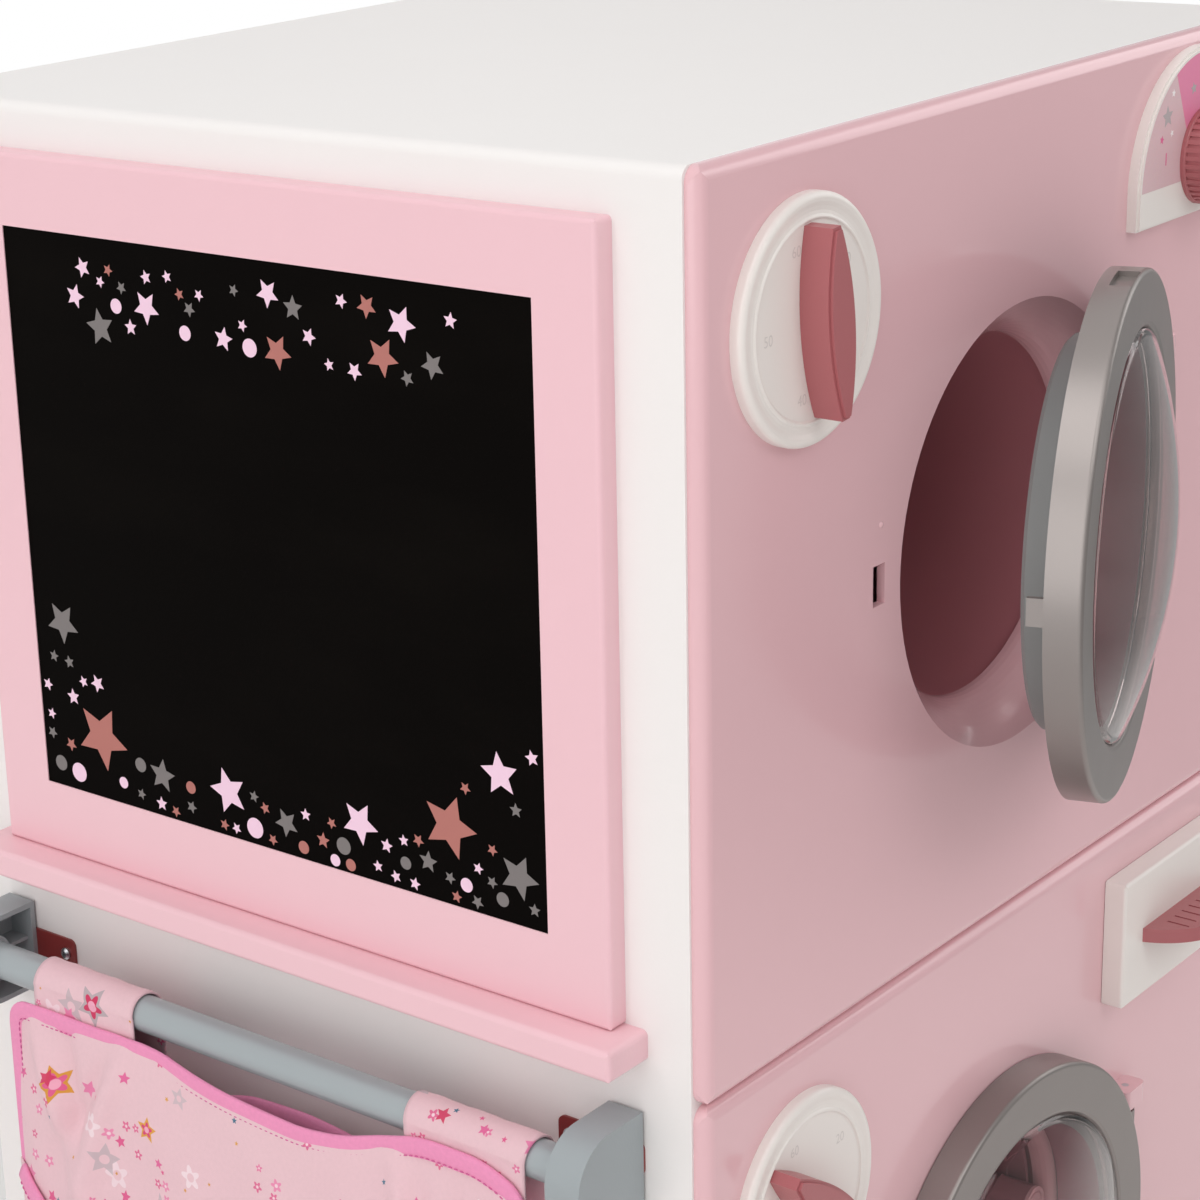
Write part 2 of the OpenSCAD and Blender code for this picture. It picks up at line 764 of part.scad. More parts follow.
// The bezel in closed position: a rounded ring
module bezel_body() {
  lip = 3.5;
  outer_arc = [for (a = [0:15:90])
    [bezel_r - bezel_edge_r * (1 - cos(a)), bezel_front + bezel_edge_r * (1 - sin(a))]];
  inner_arc = [for (a = [90:-30:0]) [window_r + lip * (1 - cos(a)), bezel_front + lip * (1 - sin(a))]];
  turned_y(concat([[bezel_r, bezel_back]], outer_arc, inner_arc, [[window_r, rim_front],
    [window_rim_r + seat, rim_front], [window_rim_r + seat, rim_back], [back_ring_r + seat, rim_back],
    [back_ring_r + seat, bezel_back]]));
}

window_rim_r = window_r + 5;
rim_front = bezel_front + 6;
rim_back = rim_front + window_t + seat;
ring_flange_r = window_rim_r + 14;

module bezel(grips) {
  difference() {
    union() {
      bezel_body();
      translate([hinge_x, hinge_axis_y, -barrel_half]) cylinder(r = barrel_r, h = 2 * barrel_half);
      translate([hinge_x - 22, bezel_front + 6, -barrel_half]) cube([22, bezel_t - 6, 2 * barrel_half]);
    }
    translate([hinge_x, hinge_axis_y, -far / 2]) cylinder(d = pin_d + 2 * fit, h = far);
    hinge_relief();
    if (grips) for (a = [-grip_turn, grip_turn + 180]) rotate([0, a, 0])
      translate([0, bezel_front + 1.6 + grip_d / 2, bezel_r]) cube([grip_w, grip_d, grip_depth], center = true);
    ring_room();
    at_ring_screws() screw_hole(ring_screw_l);
  }
}

// Right of the hinge axis nothing reaches further from the axis than the barrel
module hinge_relief() {
  difference() {
    translate([hinge_x, hinge_axis_y, -far / 2]) cube([far, far, far]);
    translate([hinge_x, hinge_axis_y, -far]) cylinder(r = barrel_r, h = 2 * far);
  }
}

// Room in the bezel's back for the window and for the ring that clamps it
module ring_room() {
  turned_y([[0, rim_front], [window_rim_r + seat, rim_front], [window_rim_r + seat, rim_back],
    [ring_flange_r + seat, rim_back], [ring_flange_r + seat, bezel_back + 1], [0, bezel_back + 1]]);
}

ring_screw_l = 6;
ring_flange_t = 3;
latch_t = 3;
latch_x = 0.3 - bezel_r;
grip_depth = 7;

module at_ring_screws() {
  for (a = [45:90:359]) rotate([0, a, 0]) translate([window_rim_r + 8, rim_back + ring_flange_t, 0])
    rotate([-90, 0, 0]) children();
}

module latch_tab() {
  translate([latch_x, bezel_back - 2, latch_lift - latch_half]) cube([latch_t, latch_reach + 2, 2 * latch_half]);
}

module full_bezel(grips = false) {
  difference() {
    union() {
      bezel(grips);
      latch_tab();
    }
    ring_room();
  }
}

module back_ring() {
  ring_back = bezel_back + back_ring_reach;
  inner = back_ring_r - back_ring_w;
  difference() {
    turned_y([[inner, rim_back], [ring_flange_r, rim_back], [ring_flange_r, rim_back + ring_flange_t],
      [back_ring_r, rim_back + ring_flange_t], [back_ring_r, ring_back - 2], [back_ring_r - 2, ring_back],
      [inner + 1, ring_back], [inner, ring_back - 1]]);
    at_ring_screws() screw_hole(ring_screw_l);
  }
}

// The window is a dome on a short collar, with a flat rim behind
dome_r = window_r - 0.5;
function dome_rise(r) = dome_h * (1 - pow(r / dome_r, 2));

module window() {
  steps = 20;
  rim_y = rim_front + fit;
  outer = [for (i = [0:steps]) let (r = dome_r * i / steps) [r, bezel_front - dome_rise(r)]];
  inner = [for (i = [steps:-1:0]) let (r = (dome_r - window_t) * i / steps)
    [r, bezel_front + window_t - dome_rise(r)]];
  turned_y(concat(outer, [[dome_r, rim_y], [window_rim_r, rim_y], [window_rim_r, rim_y + window_t],
    [dome_r - window_t, rim_y + window_t]], inner));
}

module ring_screws() {
  at_ring_screws() screw(ring_screw_l);
}

module hinge_pin() {
  half = knuckle_z + knuckle_l;
  translate([hinge_x, hinge_axis_y, -half]) cylinder(d = pin_d, h = 2 * half);
}

module upper_bezel() placed() color(silver) upper_door_turned() full_bezel(grips = true);
module upper_back_ring() placed() color("#6E6664") upper_door_turned() back_ring();
module upper_window() placed() color("#D8DADC") upper_door_turned() window();
module upper_ring_screws() placed() color(steel) upper_door_turned() ring_screws();
module upper_hinge_pin() placed() color(steel) at_upper_port() hinge_pin();
module lower_bezel() placed() color(silver) at_lower_port() full_bezel();
module lower_back_ring() placed() color("#6E6664") at_lower_port() back_ring();
module lower_window() placed() color("#D8DADC") at_lower_port() window();
module lower_ring_screws() placed() color(steel) at_lower_port() ring_screws();
module lower_hinge_pin() placed() color(steel) at_lower_port() hinge_pin();

// ---- dials ----

boss_r = 9;
spindle_r = 5;
clip_t = 1.5;
clip_r = boss_r + 4;
boss_back = skin_y + 0.3;
clip_y = boss_back + fit;

// A dial's boss passes through the skin and carries the knob's spindle
module dial_boss() {
  difference() {
    translate([0, face_y - eps, 0]) rod_y(boss_r, boss_back - face_y + eps);
    translate([0, face_y - far / 2, 0]) rod_y(spindle_r + fit, far);
  }
}

// Rolled rim, shallow valley, thin ridge and slightly sunk middle
module dial() {
  rim_in = dial_r - dial_rim;
  front = face_y - dial_t;
  edge = 3;
  turned_y(concat([[spindle_r + fit, front + 1], [rim_in - 1.8, front + 1], [rim_in - 1.2, front + 0.7],
    [rim_in - 0.8, front + 0.15], [rim_in - 0.2, front + 0.05], [rim_in + 0.4, front + 0.3],
    [rim_in + 1, front + 0.9], [rim_in + 2.5, front + 1.1], [rim_in + 4.5, front + 0.8], [rim_in + 6.5, front + 0.2]],
    [for (a = [90:-15:0]) [dial_r - edge * (1 - cos(a)), front + edge * (1 - sin(a))]],
    [[dial_r, face_y], [spindle_r + fit, face_y]]));
  dial_boss();
}

// A bar knob is a lens with cut ends, on a spindle with a groove for its clip
module bar_knob() {
  base = face_y - dial_t + 1 - fit;
  sag = (bar_w - bar_end) / 2;
  arc_r = (pow(bar_l / 2, 2) + sag * sag) / (2 * sag);
  bevel = 1.5;
  lens(base, arc_r, bevel, bar_h);
  lens(base, arc_r, 0, bar_h - bevel);
  spindle(base);
}

// The lens outline, drawn in by inset, from the base to a height
module lens(base, arc_r, inset, height) {
  intersection() {
    translate([arc_r - bar_w / 2, base - height, 0]) rod_y(arc_r - inset, height, 256);
    translate([bar_w / 2 - arc_r, base - height, 0]) rod_y(arc_r - inset, height, 256);
    translate([0, base - height / 2, 0]) cube([bar_w, height, bar_l - 2 * inset], center = true);
  }
}

module spindle(base) {
  difference() {
    translate([0, base - eps, 0]) rod_y(spindle_r, clip_y + clip_t + 3 - base);
    translate([0, clip_y - fit / 2, 0]) ring_y(spindle_r + 2, spindle_r - 1, clip_t + fit);
  }
}

// A spring washer that snaps into the spindle's groove
module knob_clip() {
  translate([0, clip_y, 0]) ring_y(clip_r, spindle_r - 1 + fit, clip_t);
}

module at_dial(top) { translate([-dial_x, 0, top - dial_drop]) children(); }

module upper_dial() placed() color(white) at_dial(total_h) dial();
module upper_bar_knob() placed() color(rose) at_dial(total_h) rotate([0, -upper_bar_turn, 0]) bar_knob();
module upper_knob_clip() placed() color(steel) at_dial(total_h) knob_clip();
module lower_dial() placed() color(white) at_dial(lower_top) dial();
module lower_bar_knob() placed() color(rose) at_dial(lower_top) rotate([0, -lower_bar_turn, 0]) bar_knob();
module lower_knob_clip() placed() color(steel) at_dial(lower_top) knob_clip();

// ---- temperature dial ----

plate_z = total_h - plate_drop;
ribbed_z = plate_z + ribbed_lift;
label_t = 0.4;

// A half-round outline with a straight foot, drawn in by inset
module arch(inset, foot) {
  drop = max(foot, eps);
  intersection() {
    union() {
      circle(plate_r - inset, $fn = 128);
      translate([-plate_r + inset, -drop]) square([2 * (plate_r - inset), drop]);
    }
    translate([-plate_r, -foot]) square([2 * plate_r, foot + plate_r]);
  }
}

module temperature_plate() placed() color(white) translate([plate_x, 0, plate_z]) {
  difference() {
    union() {
      translate([0, face_y - plate_t + 1.5, 0]) along_y(plate_t - 1.5) arch(0, plate_foot);
      translate([0, face_y - plate_t, 0]) along_y(1.5 + eps) arch(1.2, plate_foot - 1.2);
    }
    translate([0, face_y - plate_t - 1, 0]) along_y(1 + label_t) arch(label_inset, -label_rise);
    translate([0, face_y - far / 2, ribbed_lift]) rod_y(spindle_r + fit, far);
  }
  translate([0, 0, ribbed_lift]) dial_boss();
}

module temperature_label() placed() color("#E5A5BC") translate([plate_x, 0, plate_z]) difference() {
  translate([0, face_y - plate_t, 0]) along_y(label_t) arch(label_inset + fit, -label_rise - fit);
  translate([0, face_y - far / 2, ribbed_lift]) rod_y(spindle_r + 1, far);
}

// Ribs run along the ribbed knob's side, and a pointer ridge crosses its face
module ribbed_knob() placed() color(rose) translate([plate_x, 0, ribbed_z]) {
  base = face_y - plate_t - fit;
  front = base - ribbed_h;
  difference() {
    turned_y([[0, front], [ribbed_r - 4, front], [ribbed_r - 1.5, front + 2.5], [ribbed_r - 0.5, base - 2.5],
      [ribbed_r, base - 2], [ribbed_r, base], [0, base]]);
    for (i = [0:ribs - 1]) rotate([0, i * 360 / ribs, 0])
      translate([ribbed_r - 0.2, front + 3, 0]) cube([2.4, 2 * (ribbed_h - 6), 1.9], center = true);
  }
  translate([0, front + eps, ribbed_r * 0.42]) rotate([90, 0, 0]) linear_extrude(1.4)
    round_rect(4, ribbed_r * 0.8, 1.9);
  spindle(base);
}

module ribbed_knob_clip() placed() color(steel) translate([plate_x, 0, ribbed_z]) knob_clip();

// ---- drawer ----

drawer_z = lower_top - drawer_drop - drawer_h / 2;
tray_w = drawer_w - 2 * drawer_lip;
tray_h = drawer_h - 2 * drawer_lip;
tray_room = 0.6;
housing_w = tray_w + 2 * tray_room + 2 * tray_wall;
housing_h = tray_h + 2 * tray_room + 2 * tray_wall;
tray_front = face_y - 0.3;

module drawer_front() placed() color(white) translate([plate_x, 0, drawer_z]) difference() {
  edge = 2;
  intersection() {
    translate([0, tray_front - drawer_t, 0]) along_y(drawer_t) round_rect(drawer_w, drawer_h, edge);
    translate([0, tray_front, -drawer_h / 2]) linear_extrude(drawer_h)
      round_rect(drawer_w, 2 * drawer_t, edge);
    along_x(drawer_w) translate([tray_front, 0]) round_rect(2 * drawer_t, drawer_h, edge);
  }
  at_drawer_screws() screw_hole();
}

module at_drawer_screws() {
  for (x = [-1, 1]) translate([x * tray_w * 0.36, tray_front + tray_wall, 0]) rotate([-90, 0, 0]) children();
}

// The scoop handle is a flat half disc with a hollow below and fine ribs on top
module drawer_handle() placed() color(rose) translate([plate_x, tray_front - drawer_t, drawer_z]) {
  arc_r = (handle_half * handle_half + handle_reach * handle_reach) / (2 * handle_reach);
  difference() {
    intersection() {
      translate([0, arc_r - handle_reach, -handle_t / 2]) cylinder(r = arc_r, h = handle_t, $fn = 128);
      translate([-far / 2, -far, -far / 2]) cube([far, far, far]);
    }
    translate([0, 0, -handle_t / 2 - 1]) intersection() {
      translate([0, arc_r - handle_reach, 0]) cylinder(r = arc_r - 6, h = handle_t / 2, $fn = 128);
      translate([-far / 2, -far - 4, -far / 2]) cube([far, far, far]);
    }
    for (x = [-27:9:27]) translate([x, -handle_reach * 0.42, handle_t / 2])
      cube([1.6, handle_reach * 0.42, 1.2], center = true);
  }
}

module drawer_tray() placed() color(white) translate([plate_x, tray_front, drawer_z]) difference() {
  translate([-tray_w / 2, 0, -tray_h / 2]) cube([tray_w, tray_d, tray_h - 4]);
  translate([-tray_w / 2 + tray_wall, tray_wall, -tray_h / 2 + tray_wall])
    cube([tray_w - 2 * tray_wall, tray_d - 2 * tray_wall, tray_h]);
  translate([0, -tray_front, 0]) at_drawer_screws() screw_hole();
}

// The housing is a sleeve behind the lower front, closed at its back
module drawer_housing() placed() color(white) translate([plate_x, 0, drawer_z]) {
  reach = tray_d + 4;
  difference() {
    union() {
      translate([0, face_y + 1, 0]) along_y(reach + tray_wall)
        square([housing_w, housing_h] - [0.4, 0.4], center = true);
      translate([0, skin_y + fit, 0]) along_y(tray_wall)
        square([housing_w + 14, housing_h + 10], center = true);
    }
    translate([0, face_y, 0]) along_y(reach + 1)
      square([tray_w + 2 * tray_room, tray_h + 2 * tray_room] - [0.4, 0.4], center = true);
  }
}

module drawer_screws() placed() color(steel) translate([plate_x, 0, drawer_z]) at_drawer_screws() screw();

// ---- chalkboard ----

frame_top = total_h - frame_drop;
frame_h = frame_head + slate_h + frame_foot;
slate_top = frame_top - frame_head;
ledge_top = frame_top - frame_h;
groove = 6;                 // how far the sheet runs under the frame

// Local X runs along the side board towards its back, local Y runs up and
// local Z stands out from the board
module on_left_side() {
  translate([-half_w, 0, 0]) rotate([90, 0, -90]) mirror([1, 0, 0]) children();
}

module frame_outline(inset, top, bottom, w) {
  translate([frame_y, (top + bottom) / 2]) square([w - 2 * inset, top - bottom - 2 * inset], center = true);
}

// A plate on the side board with its outer edges rounded
module soft_plate(w, top, bottom, t, r) {
  intersection() {
    linear_extrude(t) translate([frame_y, (top + bottom) / 2]) round_rect(w, top - bottom, r);
    translate([frame_y, (top + bottom) / 2, 0]) along_x(w) round_rect(top - bottom, 2 * t, r);
    translate([frame_y, top, 0]) rotate([90, 0, 0]) linear_extrude(top - bottom) round_rect(w, 2 * t, r);
  }
}

module chalkboard_frame() placed() color(pink) difference() {
  on_left_side() difference() {
    soft_plate(frame_w, frame_top, ledge_top, frame_t, frame_edge_r);
    translate([0, 0, -1]) linear_extrude(frame_t + 2)
      frame_outline(0, slate_top, slate_top - slate_h, slate_w);
    translate([0, 0, -1]) linear_extrude(1 + frame_t - slate_recess)
      frame_outline(-groove, slate_top, slate_top - slate_h, slate_w);
  }
  at_board_screws() screw_hole(long_screw_l);
}

module chalkboard() placed() color("#16130F") on_left_side()
  translate([0, 0, frame_t - slate_recess - slate_t - fit]) linear_extrude(slate_t)
    frame_outline(-groove + seat, slate_top, slate_top - slate_h, slate_w);

module chalk_ledge() placed() color(pink) difference() {
  on_left_side() soft_plate(frame_w + 2 * ledge_over, ledge_top, ledge_top - ledge_h, ledge_reach, 3);
  at_board_screws() screw_hole(long_screw_l);
}

// Long screws come from inside the cabinet into the ledge, the frame and the
// brackets; local Z points to the cabinet's middle
module at_board_screws() {
  places = concat(
    [for (k = [-0.35, 0.35]) [frame_y + k * frame_w, ledge_top - ledge_h / 2]],
    [for (k = [-1, 1]) [frame_y + k * (slate_w / 2 + groove + 9), slate_top - slate_h / 2]],
    [for (k = [-1, 1]) [rail_y + k * (rail_span / 2 + bracket_w / 2), bracket_z - bracket_screw_drop]]);
  for (p = places) translate([-inner_x, p[0], p[1]]) rotate([0, 90, 0]) children();
}

module board_screws() placed() color(steel) at_board_screws() screw(long_screw_l);

// ---- rail ----

rail_span = cabinet_d - 2 * rail_inset;
rail_z = ledge_top - ledge_h - rail_drop;
rail_x = -half_w - rail_out;
bracket_z = rail_z - 3.5;
socket_depth = bracket_w - bracket_wall;
strap_l = bracket_w + strap_reach;
bracket_screw_drop = strap_h / 2 + screw_d / 2 + 1;

module bag_rail() placed() color(rail_grey) {
  half = rail_span / 2 + socket_depth - 0.5;
  translate([rail_x, rail_y - half, rail_z]) ring_y(rail_d / 2, rail_d / 2 - rail_wall, 2 * half);
}

// A bracket is a cup with a D-shaped wall, open towards the rail's middle;
// local Y runs from its outer face inwards
module bracket() {
  corner = bracket_h / 2 - 2;
  back_x = -half_w - strap_t - bracket_wall;
  outer_x = -half_w - bracket_out + 1;
  difference() {
    union() {
      difference() {
        translate([0, 0, bracket_z]) along_y(bracket_w) bracket_outline(0, corner);
        translate([0, bracket_wall, bracket_z]) along_y(bracket_w)
          bracket_outline(bracket_wall, corner - bracket_wall);
      }
      translate([rail_x, bracket_wall - eps, rail_z]) rod_y(rail_d / 2 + 2.4, socket_depth + eps);
      translate([outer_x, bracket_wall - eps, rail_z - 1]) cube([back_x - outer_x + 1, socket_depth - 4, 2]);
      translate([rail_x - 1, bracket_wall - eps, bracket_z - bracket_h / 2 + 1])
        cube([2, socket_depth - 4, bracket_h - 2]);
      translate([back_x - 4, bracket_w / 2, bracket_z - bracket_screw_drop]) rotate([0, 90, 0])
        cylinder(r = 4, h = 5);
    }
    translate([rail_x, bracket_wall, rail_z]) rod_y(rail_d / 2 + fit, bracket_w);
  }
}

// D shape against the side board, drawn in by inset
module bracket_outline(inset, corner) {
  reach = bracket_out - inset;
  height = bracket_h - 2 * inset;
  translate([-half_w - reach, 0]) intersection() {
    translate([reach, 0]) round_rect(2 * reach, height, corner);
    translate([0, -height / 2]) square([reach - strap_t - inset, height]);
  }
}

module front_bracket() placed() color(rail_grey) difference() {
  translate([0, rail_y - rail_span / 2 - bracket_w, 0]) bracket();
  at_board_screws() screw_hole(long_screw_l);
}

module rear_bracket() placed() color(rail_grey) difference() {
  translate([0, rail_y, 0]) mirror([0, 1, 0]) translate([0, -rail_span / 2 - bracket_w, 0]) bracket();
  at_board_screws() screw_hole(long_screw_l);
}

// Steel straps lie between the brackets and the side board
module bracket_straps() placed() color(wine) difference() {
  on_left_side() for (s = [-1, 1])
    translate([rail_y + s * (rail_span / 2 + bracket_w - strap_l / 2), bracket_z])
      linear_extrude(strap_t) round_rect(strap_l, strap_h, 4);
  at_straps() screw_hole();
}

module at_straps() {
  on_left_side() for (s = [-1, 1])
    translate([rail_y + s * (rail_span / 2 - strap_reach + 7), bracket_z, strap_t]) children();
}

module strap_screws() placed() color(steel) at_straps() screw();

// ---- bag ----

bag_w = rail_span - bag_slack;
bag_y = rail_y - bag_shift;
rear_loop = bag_w / 2 - bag_cloth - rear_loop_in - loop_w / 2;
front_loop = bag_w / 2 - bag_cloth - front_loop_in - loop_w / 2;
loop_t = 1.5;
loop_r = rail_d / 2 + cloth_gap;
mouth_half = loop_r + loop_t + cloth_gap + bag_cloth;
bag_front_x = rail_x - mouth_half;
bag_back_x = rail_x + mouth_half;
bag_top = rail_z - 12;
bag_bottom = rail_z - bag_drop;
mouth_drop = 9;

// Swell of the bag's front and back at a share of its height, 0 at the mouth
function swell(u) = 13 * pow(sin(180 * pow(u, 0.8)), 1) + 5 * u;
bag_steps = 14;
bag_shares = [for (i = [0:bag_steps]) i / bag_steps];

// The bag's side view, drawn in by inset, in X and Z
function bag_side(inset, top, bottom) = concat(
  [for (u = bag_shares) [bag_front_x - swell(u) + inset, top + (bottom - top) * u]],
  [for (i = [bag_steps:-1:0]) let (u = bag_shares[i])
    [bag_back_x + 0.45 * swell(u) - inset, top + (bottom - top) * u]]);

module bag_body() placed() color(cloth_pink) translate([0, bag_y - bag_w / 2, 0]) difference() {
  along_y(bag_w) polygon(bag_side(0, bag_top, bag_bottom));
  translate([0, bag_cloth, 0]) along_y(bag_w - 2 * bag_cloth)
    polygon(bag_side(bag_cloth, bag_top + 1, bag_bottom + bag_cloth));
}

// The pocket lies on the bag's front and its open edge hangs in a curve
module bag_pocket() placed() color(hot_pink) {
  outer = [for (u = bag_shares)
    [bag_front_x - swell(u) - cloth_gap - bag_cloth, bag_top + (bag_bottom - bag_top) * u]];
  inner = [for (i = [bag_steps:-1:0]) let (u = bag_shares[i])
    [bag_front_x - swell(u) - cloth_gap, bag_top + (bag_bottom - bag_top) * u]];
  arc_r = (pow(bag_w / 2, 2) + pocket_sag * pocket_sag) / (2 * pocket_sag);
  difference() {
    translate([0, bag_y - bag_w / 2, 0]) along_y(bag_w) polygon(concat(outer, inner));
    translate([rail_x - far / 2, bag_y, bag_bottom + pocket_h - pocket_sag + arc_r]) rotate([0, 90, 0])
      cylinder(r = arc_r, h = far, $fn = 128);
    translate([rail_x - far / 2, -far / 2, bag_bottom + pocket_h]) cube([far, far, far]);
  }
}

// Two cloth loops hang over the rail and go down inside the bag's mouth
module bag_loops() placed() color(cloth_pink) for (y = [rear_loop, -front_loop])
  translate([rail_x, bag_y + y - loop_w / 2, rail_z]) difference() {
    drop = rail_z - bag_top + mouth_drop;
    union() {
      rod_y(loop_r + loop_t, loop_w);
      translate([-loop_r - loop_t, 0, -drop]) cube([2 * (loop_r + loop_t), loop_w, drop]);
    }
    translate([0, -1, 0]) rod_y(loop_r, loop_w + 2);
    translate([-loop_r, -1, -far]) cube([2 * loop_r, loop_w + 2, far]);
  }

// ---- reach of the whole object about the cabinet's middle ----

left_reach = -bag_front_x + cloth_gap + bag_cloth + max([for (u = bag_shares) swell(u)]);
back_reach = half_d + screw_head_h;
door_corner = [for (a = [0:15:90])
  [hinge_x + bezel_r - bezel_edge_r * (1 - cos(a)), hinge_axis_y - bezel_front - bezel_edge_r * (1 - sin(a))]];
front_reach = -hinge_axis_y
  + max([for (p = door_corner) p[0] * sin(upper_door_open) + p[1] * cos(upper_door_open)]);

left_side_panel();
right_side_panel();
top_panel();
bottom_panel();
middle_shelf();
back_panel();
cam_locks();
cam_bolts();
glides();
back_screws();
upper_front();
lower_front();
front_screws();
upper_tub();
lower_tub();
tub_screws();
upper_bezel();
upper_back_ring();
upper_window();
upper_ring_screws();
upper_hinge_pin();
lower_bezel();
lower_back_ring();
lower_window();
lower_ring_screws();
lower_hinge_pin();
drum();
drum_lifters();
drum_caps();
drum_shaft();
drum_bush();
drum_clip();
upper_dial();
upper_bar_knob();
upper_knob_clip();
lower_dial();
lower_bar_knob();
lower_knob_clip();
temperature_plate();
temperature_label();
ribbed_knob();
ribbed_knob_clip();
drawer_front();
drawer_handle();
drawer_tray();
drawer_housing();
drawer_screws();
chalkboard_frame();
chalkboard();
chalk_ledge();
board_screws();
bag_rail();
front_bracket();
rear_bracket();
bracket_straps();
strap_screws();
bag_body();
bag_pocket();
bag_loops();
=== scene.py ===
import json
import math

import bpy
import numpy as np
from mathutils import Euler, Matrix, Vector


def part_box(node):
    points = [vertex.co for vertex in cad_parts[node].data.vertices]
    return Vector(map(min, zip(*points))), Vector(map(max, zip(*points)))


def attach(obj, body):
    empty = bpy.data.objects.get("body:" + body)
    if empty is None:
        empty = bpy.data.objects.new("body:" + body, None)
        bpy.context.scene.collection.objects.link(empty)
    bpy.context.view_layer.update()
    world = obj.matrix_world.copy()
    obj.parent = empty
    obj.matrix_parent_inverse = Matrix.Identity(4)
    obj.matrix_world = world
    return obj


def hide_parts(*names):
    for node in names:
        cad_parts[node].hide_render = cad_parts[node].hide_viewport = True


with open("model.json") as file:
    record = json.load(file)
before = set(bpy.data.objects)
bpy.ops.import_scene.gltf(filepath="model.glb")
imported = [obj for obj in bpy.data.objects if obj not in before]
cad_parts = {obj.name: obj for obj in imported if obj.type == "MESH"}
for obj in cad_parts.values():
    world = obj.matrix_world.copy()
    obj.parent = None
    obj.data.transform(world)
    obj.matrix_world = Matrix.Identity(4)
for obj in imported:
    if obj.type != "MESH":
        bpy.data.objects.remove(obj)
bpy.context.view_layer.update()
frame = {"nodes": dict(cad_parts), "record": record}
nodes = frame["nodes"]
mm = 0.001
# every place below is measured from the middle of the cabinet's footprint; the frame's own
# origin is the middle of the whole object, and one corner of a side panel shows the way there
sideCorner = np.array([-0.285, -0.250, 0.005])
cabinetShift = np.array(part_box("left_side_panel")[0]) - sideCorner
print("frame loaded")


# camera, lights and floor
cameraSettings = {
    "place": (-1.2892837, -0.9578497, 1.1155197),
    "turn": (71.77129928, 2.32190803, -49.69344565),
    "lens": 87.5565,
    "sensor": 36.0,
    "shift": 1 / 6,
}
lightSettings = {
    "ambient": 0.50,
    "ambientTint": (1, 0.995, 0.99, 1),
    "dim": 0.36,                    # how bright gloss finds the room in front and to the right
    "dimTowards": (0.76, -0.65, 0.0),
    "dimFromTo": (0.15, 0.6),       # share of that direction at which it begins and is complete
    "lamps": {
        # name: (place, aimed at, side length, watts)
        "leftLamp": ((-3.4, -0.4, 1.4), (0.0, 0.0, 0.5), 2.9, 33.0),
        "topLamp": ((-1.7, 0.1, 3.7), (-0.1, 0.0, 0.7), 2.4, 30.0),
        "frontLamp": ((-0.2, -2.4, 2.7), (0.0, 0.0, 0.70), 1.8, 16.0),
        "rightLamp": ((3.2, -1.4, 1.8), (0.0, 0.0, 0.6), 2.0, 20.0),
    },
}
floorSettings = {"half": 6.0, "colour": "F4F2F0", "cloud": "F7F6F5", "shadowReach": 0.75,
                 "whiteFrom": 1.7}


def srgb(code):
    # "F3F1EF" as linear red, green, blue and 1
    parts = np.array([int(code[i : i + 2], 16) for i in (0, 2, 4)]) / 255
    linear = np.where(parts <= 0.04045, parts / 12.92, ((parts + 0.055) / 1.055) ** 2.4)
    return (*map(float, linear), 1.0)


def feed(tree, made, inputs):
    # an input is a plain value, or (node, output name) for a link
    for key, value in inputs.items():
        if isinstance(value, tuple) and len(value) == 2 and hasattr(value[0], "outputs"):
            tree.links.new(value[0].outputs[value[1]], made.inputs[key])
        else:
            made.inputs[key].default_value = value
    return made


def addNode(tree, kind, inputs=None, **properties):
    # a shader node with its properties and inputs set
    made = tree.nodes.new("ShaderNode" + kind)
    for name, value in properties.items():
        setattr(made, name, value)
    return feed(tree, made, inputs or {})


def useGroup(tree, group, inputs):
    # a node group placed in a material with its own values
    made = tree.nodes.new("ShaderNodeGroup")
    made.node_tree = group
    return feed(tree, made, inputs)


def calculate(tree, operation, *values, clamp=False):
    # one Math node; returns (node, output) ready for the next link
    made = addNode(tree, "Math", dict(enumerate(values)), operation=operation)
    made.use_clamp = clamp
    return (made, 0)


def makeCamera(settings):
    # the photograph's own place, direction and frame
    data = bpy.data.cameras.new("photoCamera")
    data.sensor_width = settings["sensor"]
    data.sensor_fit = "HORIZONTAL"
    data.lens = settings["lens"]
    data.shift_x = settings["shift"]
    data.clip_start = 0.05
    data.clip_end = 60
    made = bpy.data.objects.new("photoCamera", data)
    made.location = Vector(settings["place"]) + Vector(cabinetShift)
    made.rotation_euler = Euler([math.radians(a) for a in settings["turn"]])
    bpy.context.scene.collection.objects.link(made)
    bpy.context.scene.camera = made


def glossLevel(tree, direction, rays, settings):
    # strength of the white surroundings: 1, but for gloss it falls to dim towards one side
    side = addNode(tree, "VectorMath", {0: direction, 1: settings["dimTowards"]},
                   operation="DOT_PRODUCT")
    begins, ends = settings["dimFromTo"]
    turned = addNode(tree, "MapRange", {"Value": (side, 1), "From Min": begins, "From Max": ends},
                     interpolation_type="SMOOTHSTEP")
    dimmed = calculate(tree, "MULTIPLY", (turned, 0), (rays, "Is Glossy Ray"))
    return calculate(tree, "MULTIPLY_ADD", dimmed, settings["dim"] - 1.0, 1.0)


def seenRays(tree):
    # 1 for what the camera, gloss or glass looks at, 0 for light that falls on the object
    rays = addNode(tree, "LightPath")
    seen = calculate(tree, "MAXIMUM", (rays, "Is Camera Ray"), (rays, "Is Glossy Ray"))
    return rays, calculate(tree, "MAXIMUM", seen, (rays, "Is Transmission Ray"))


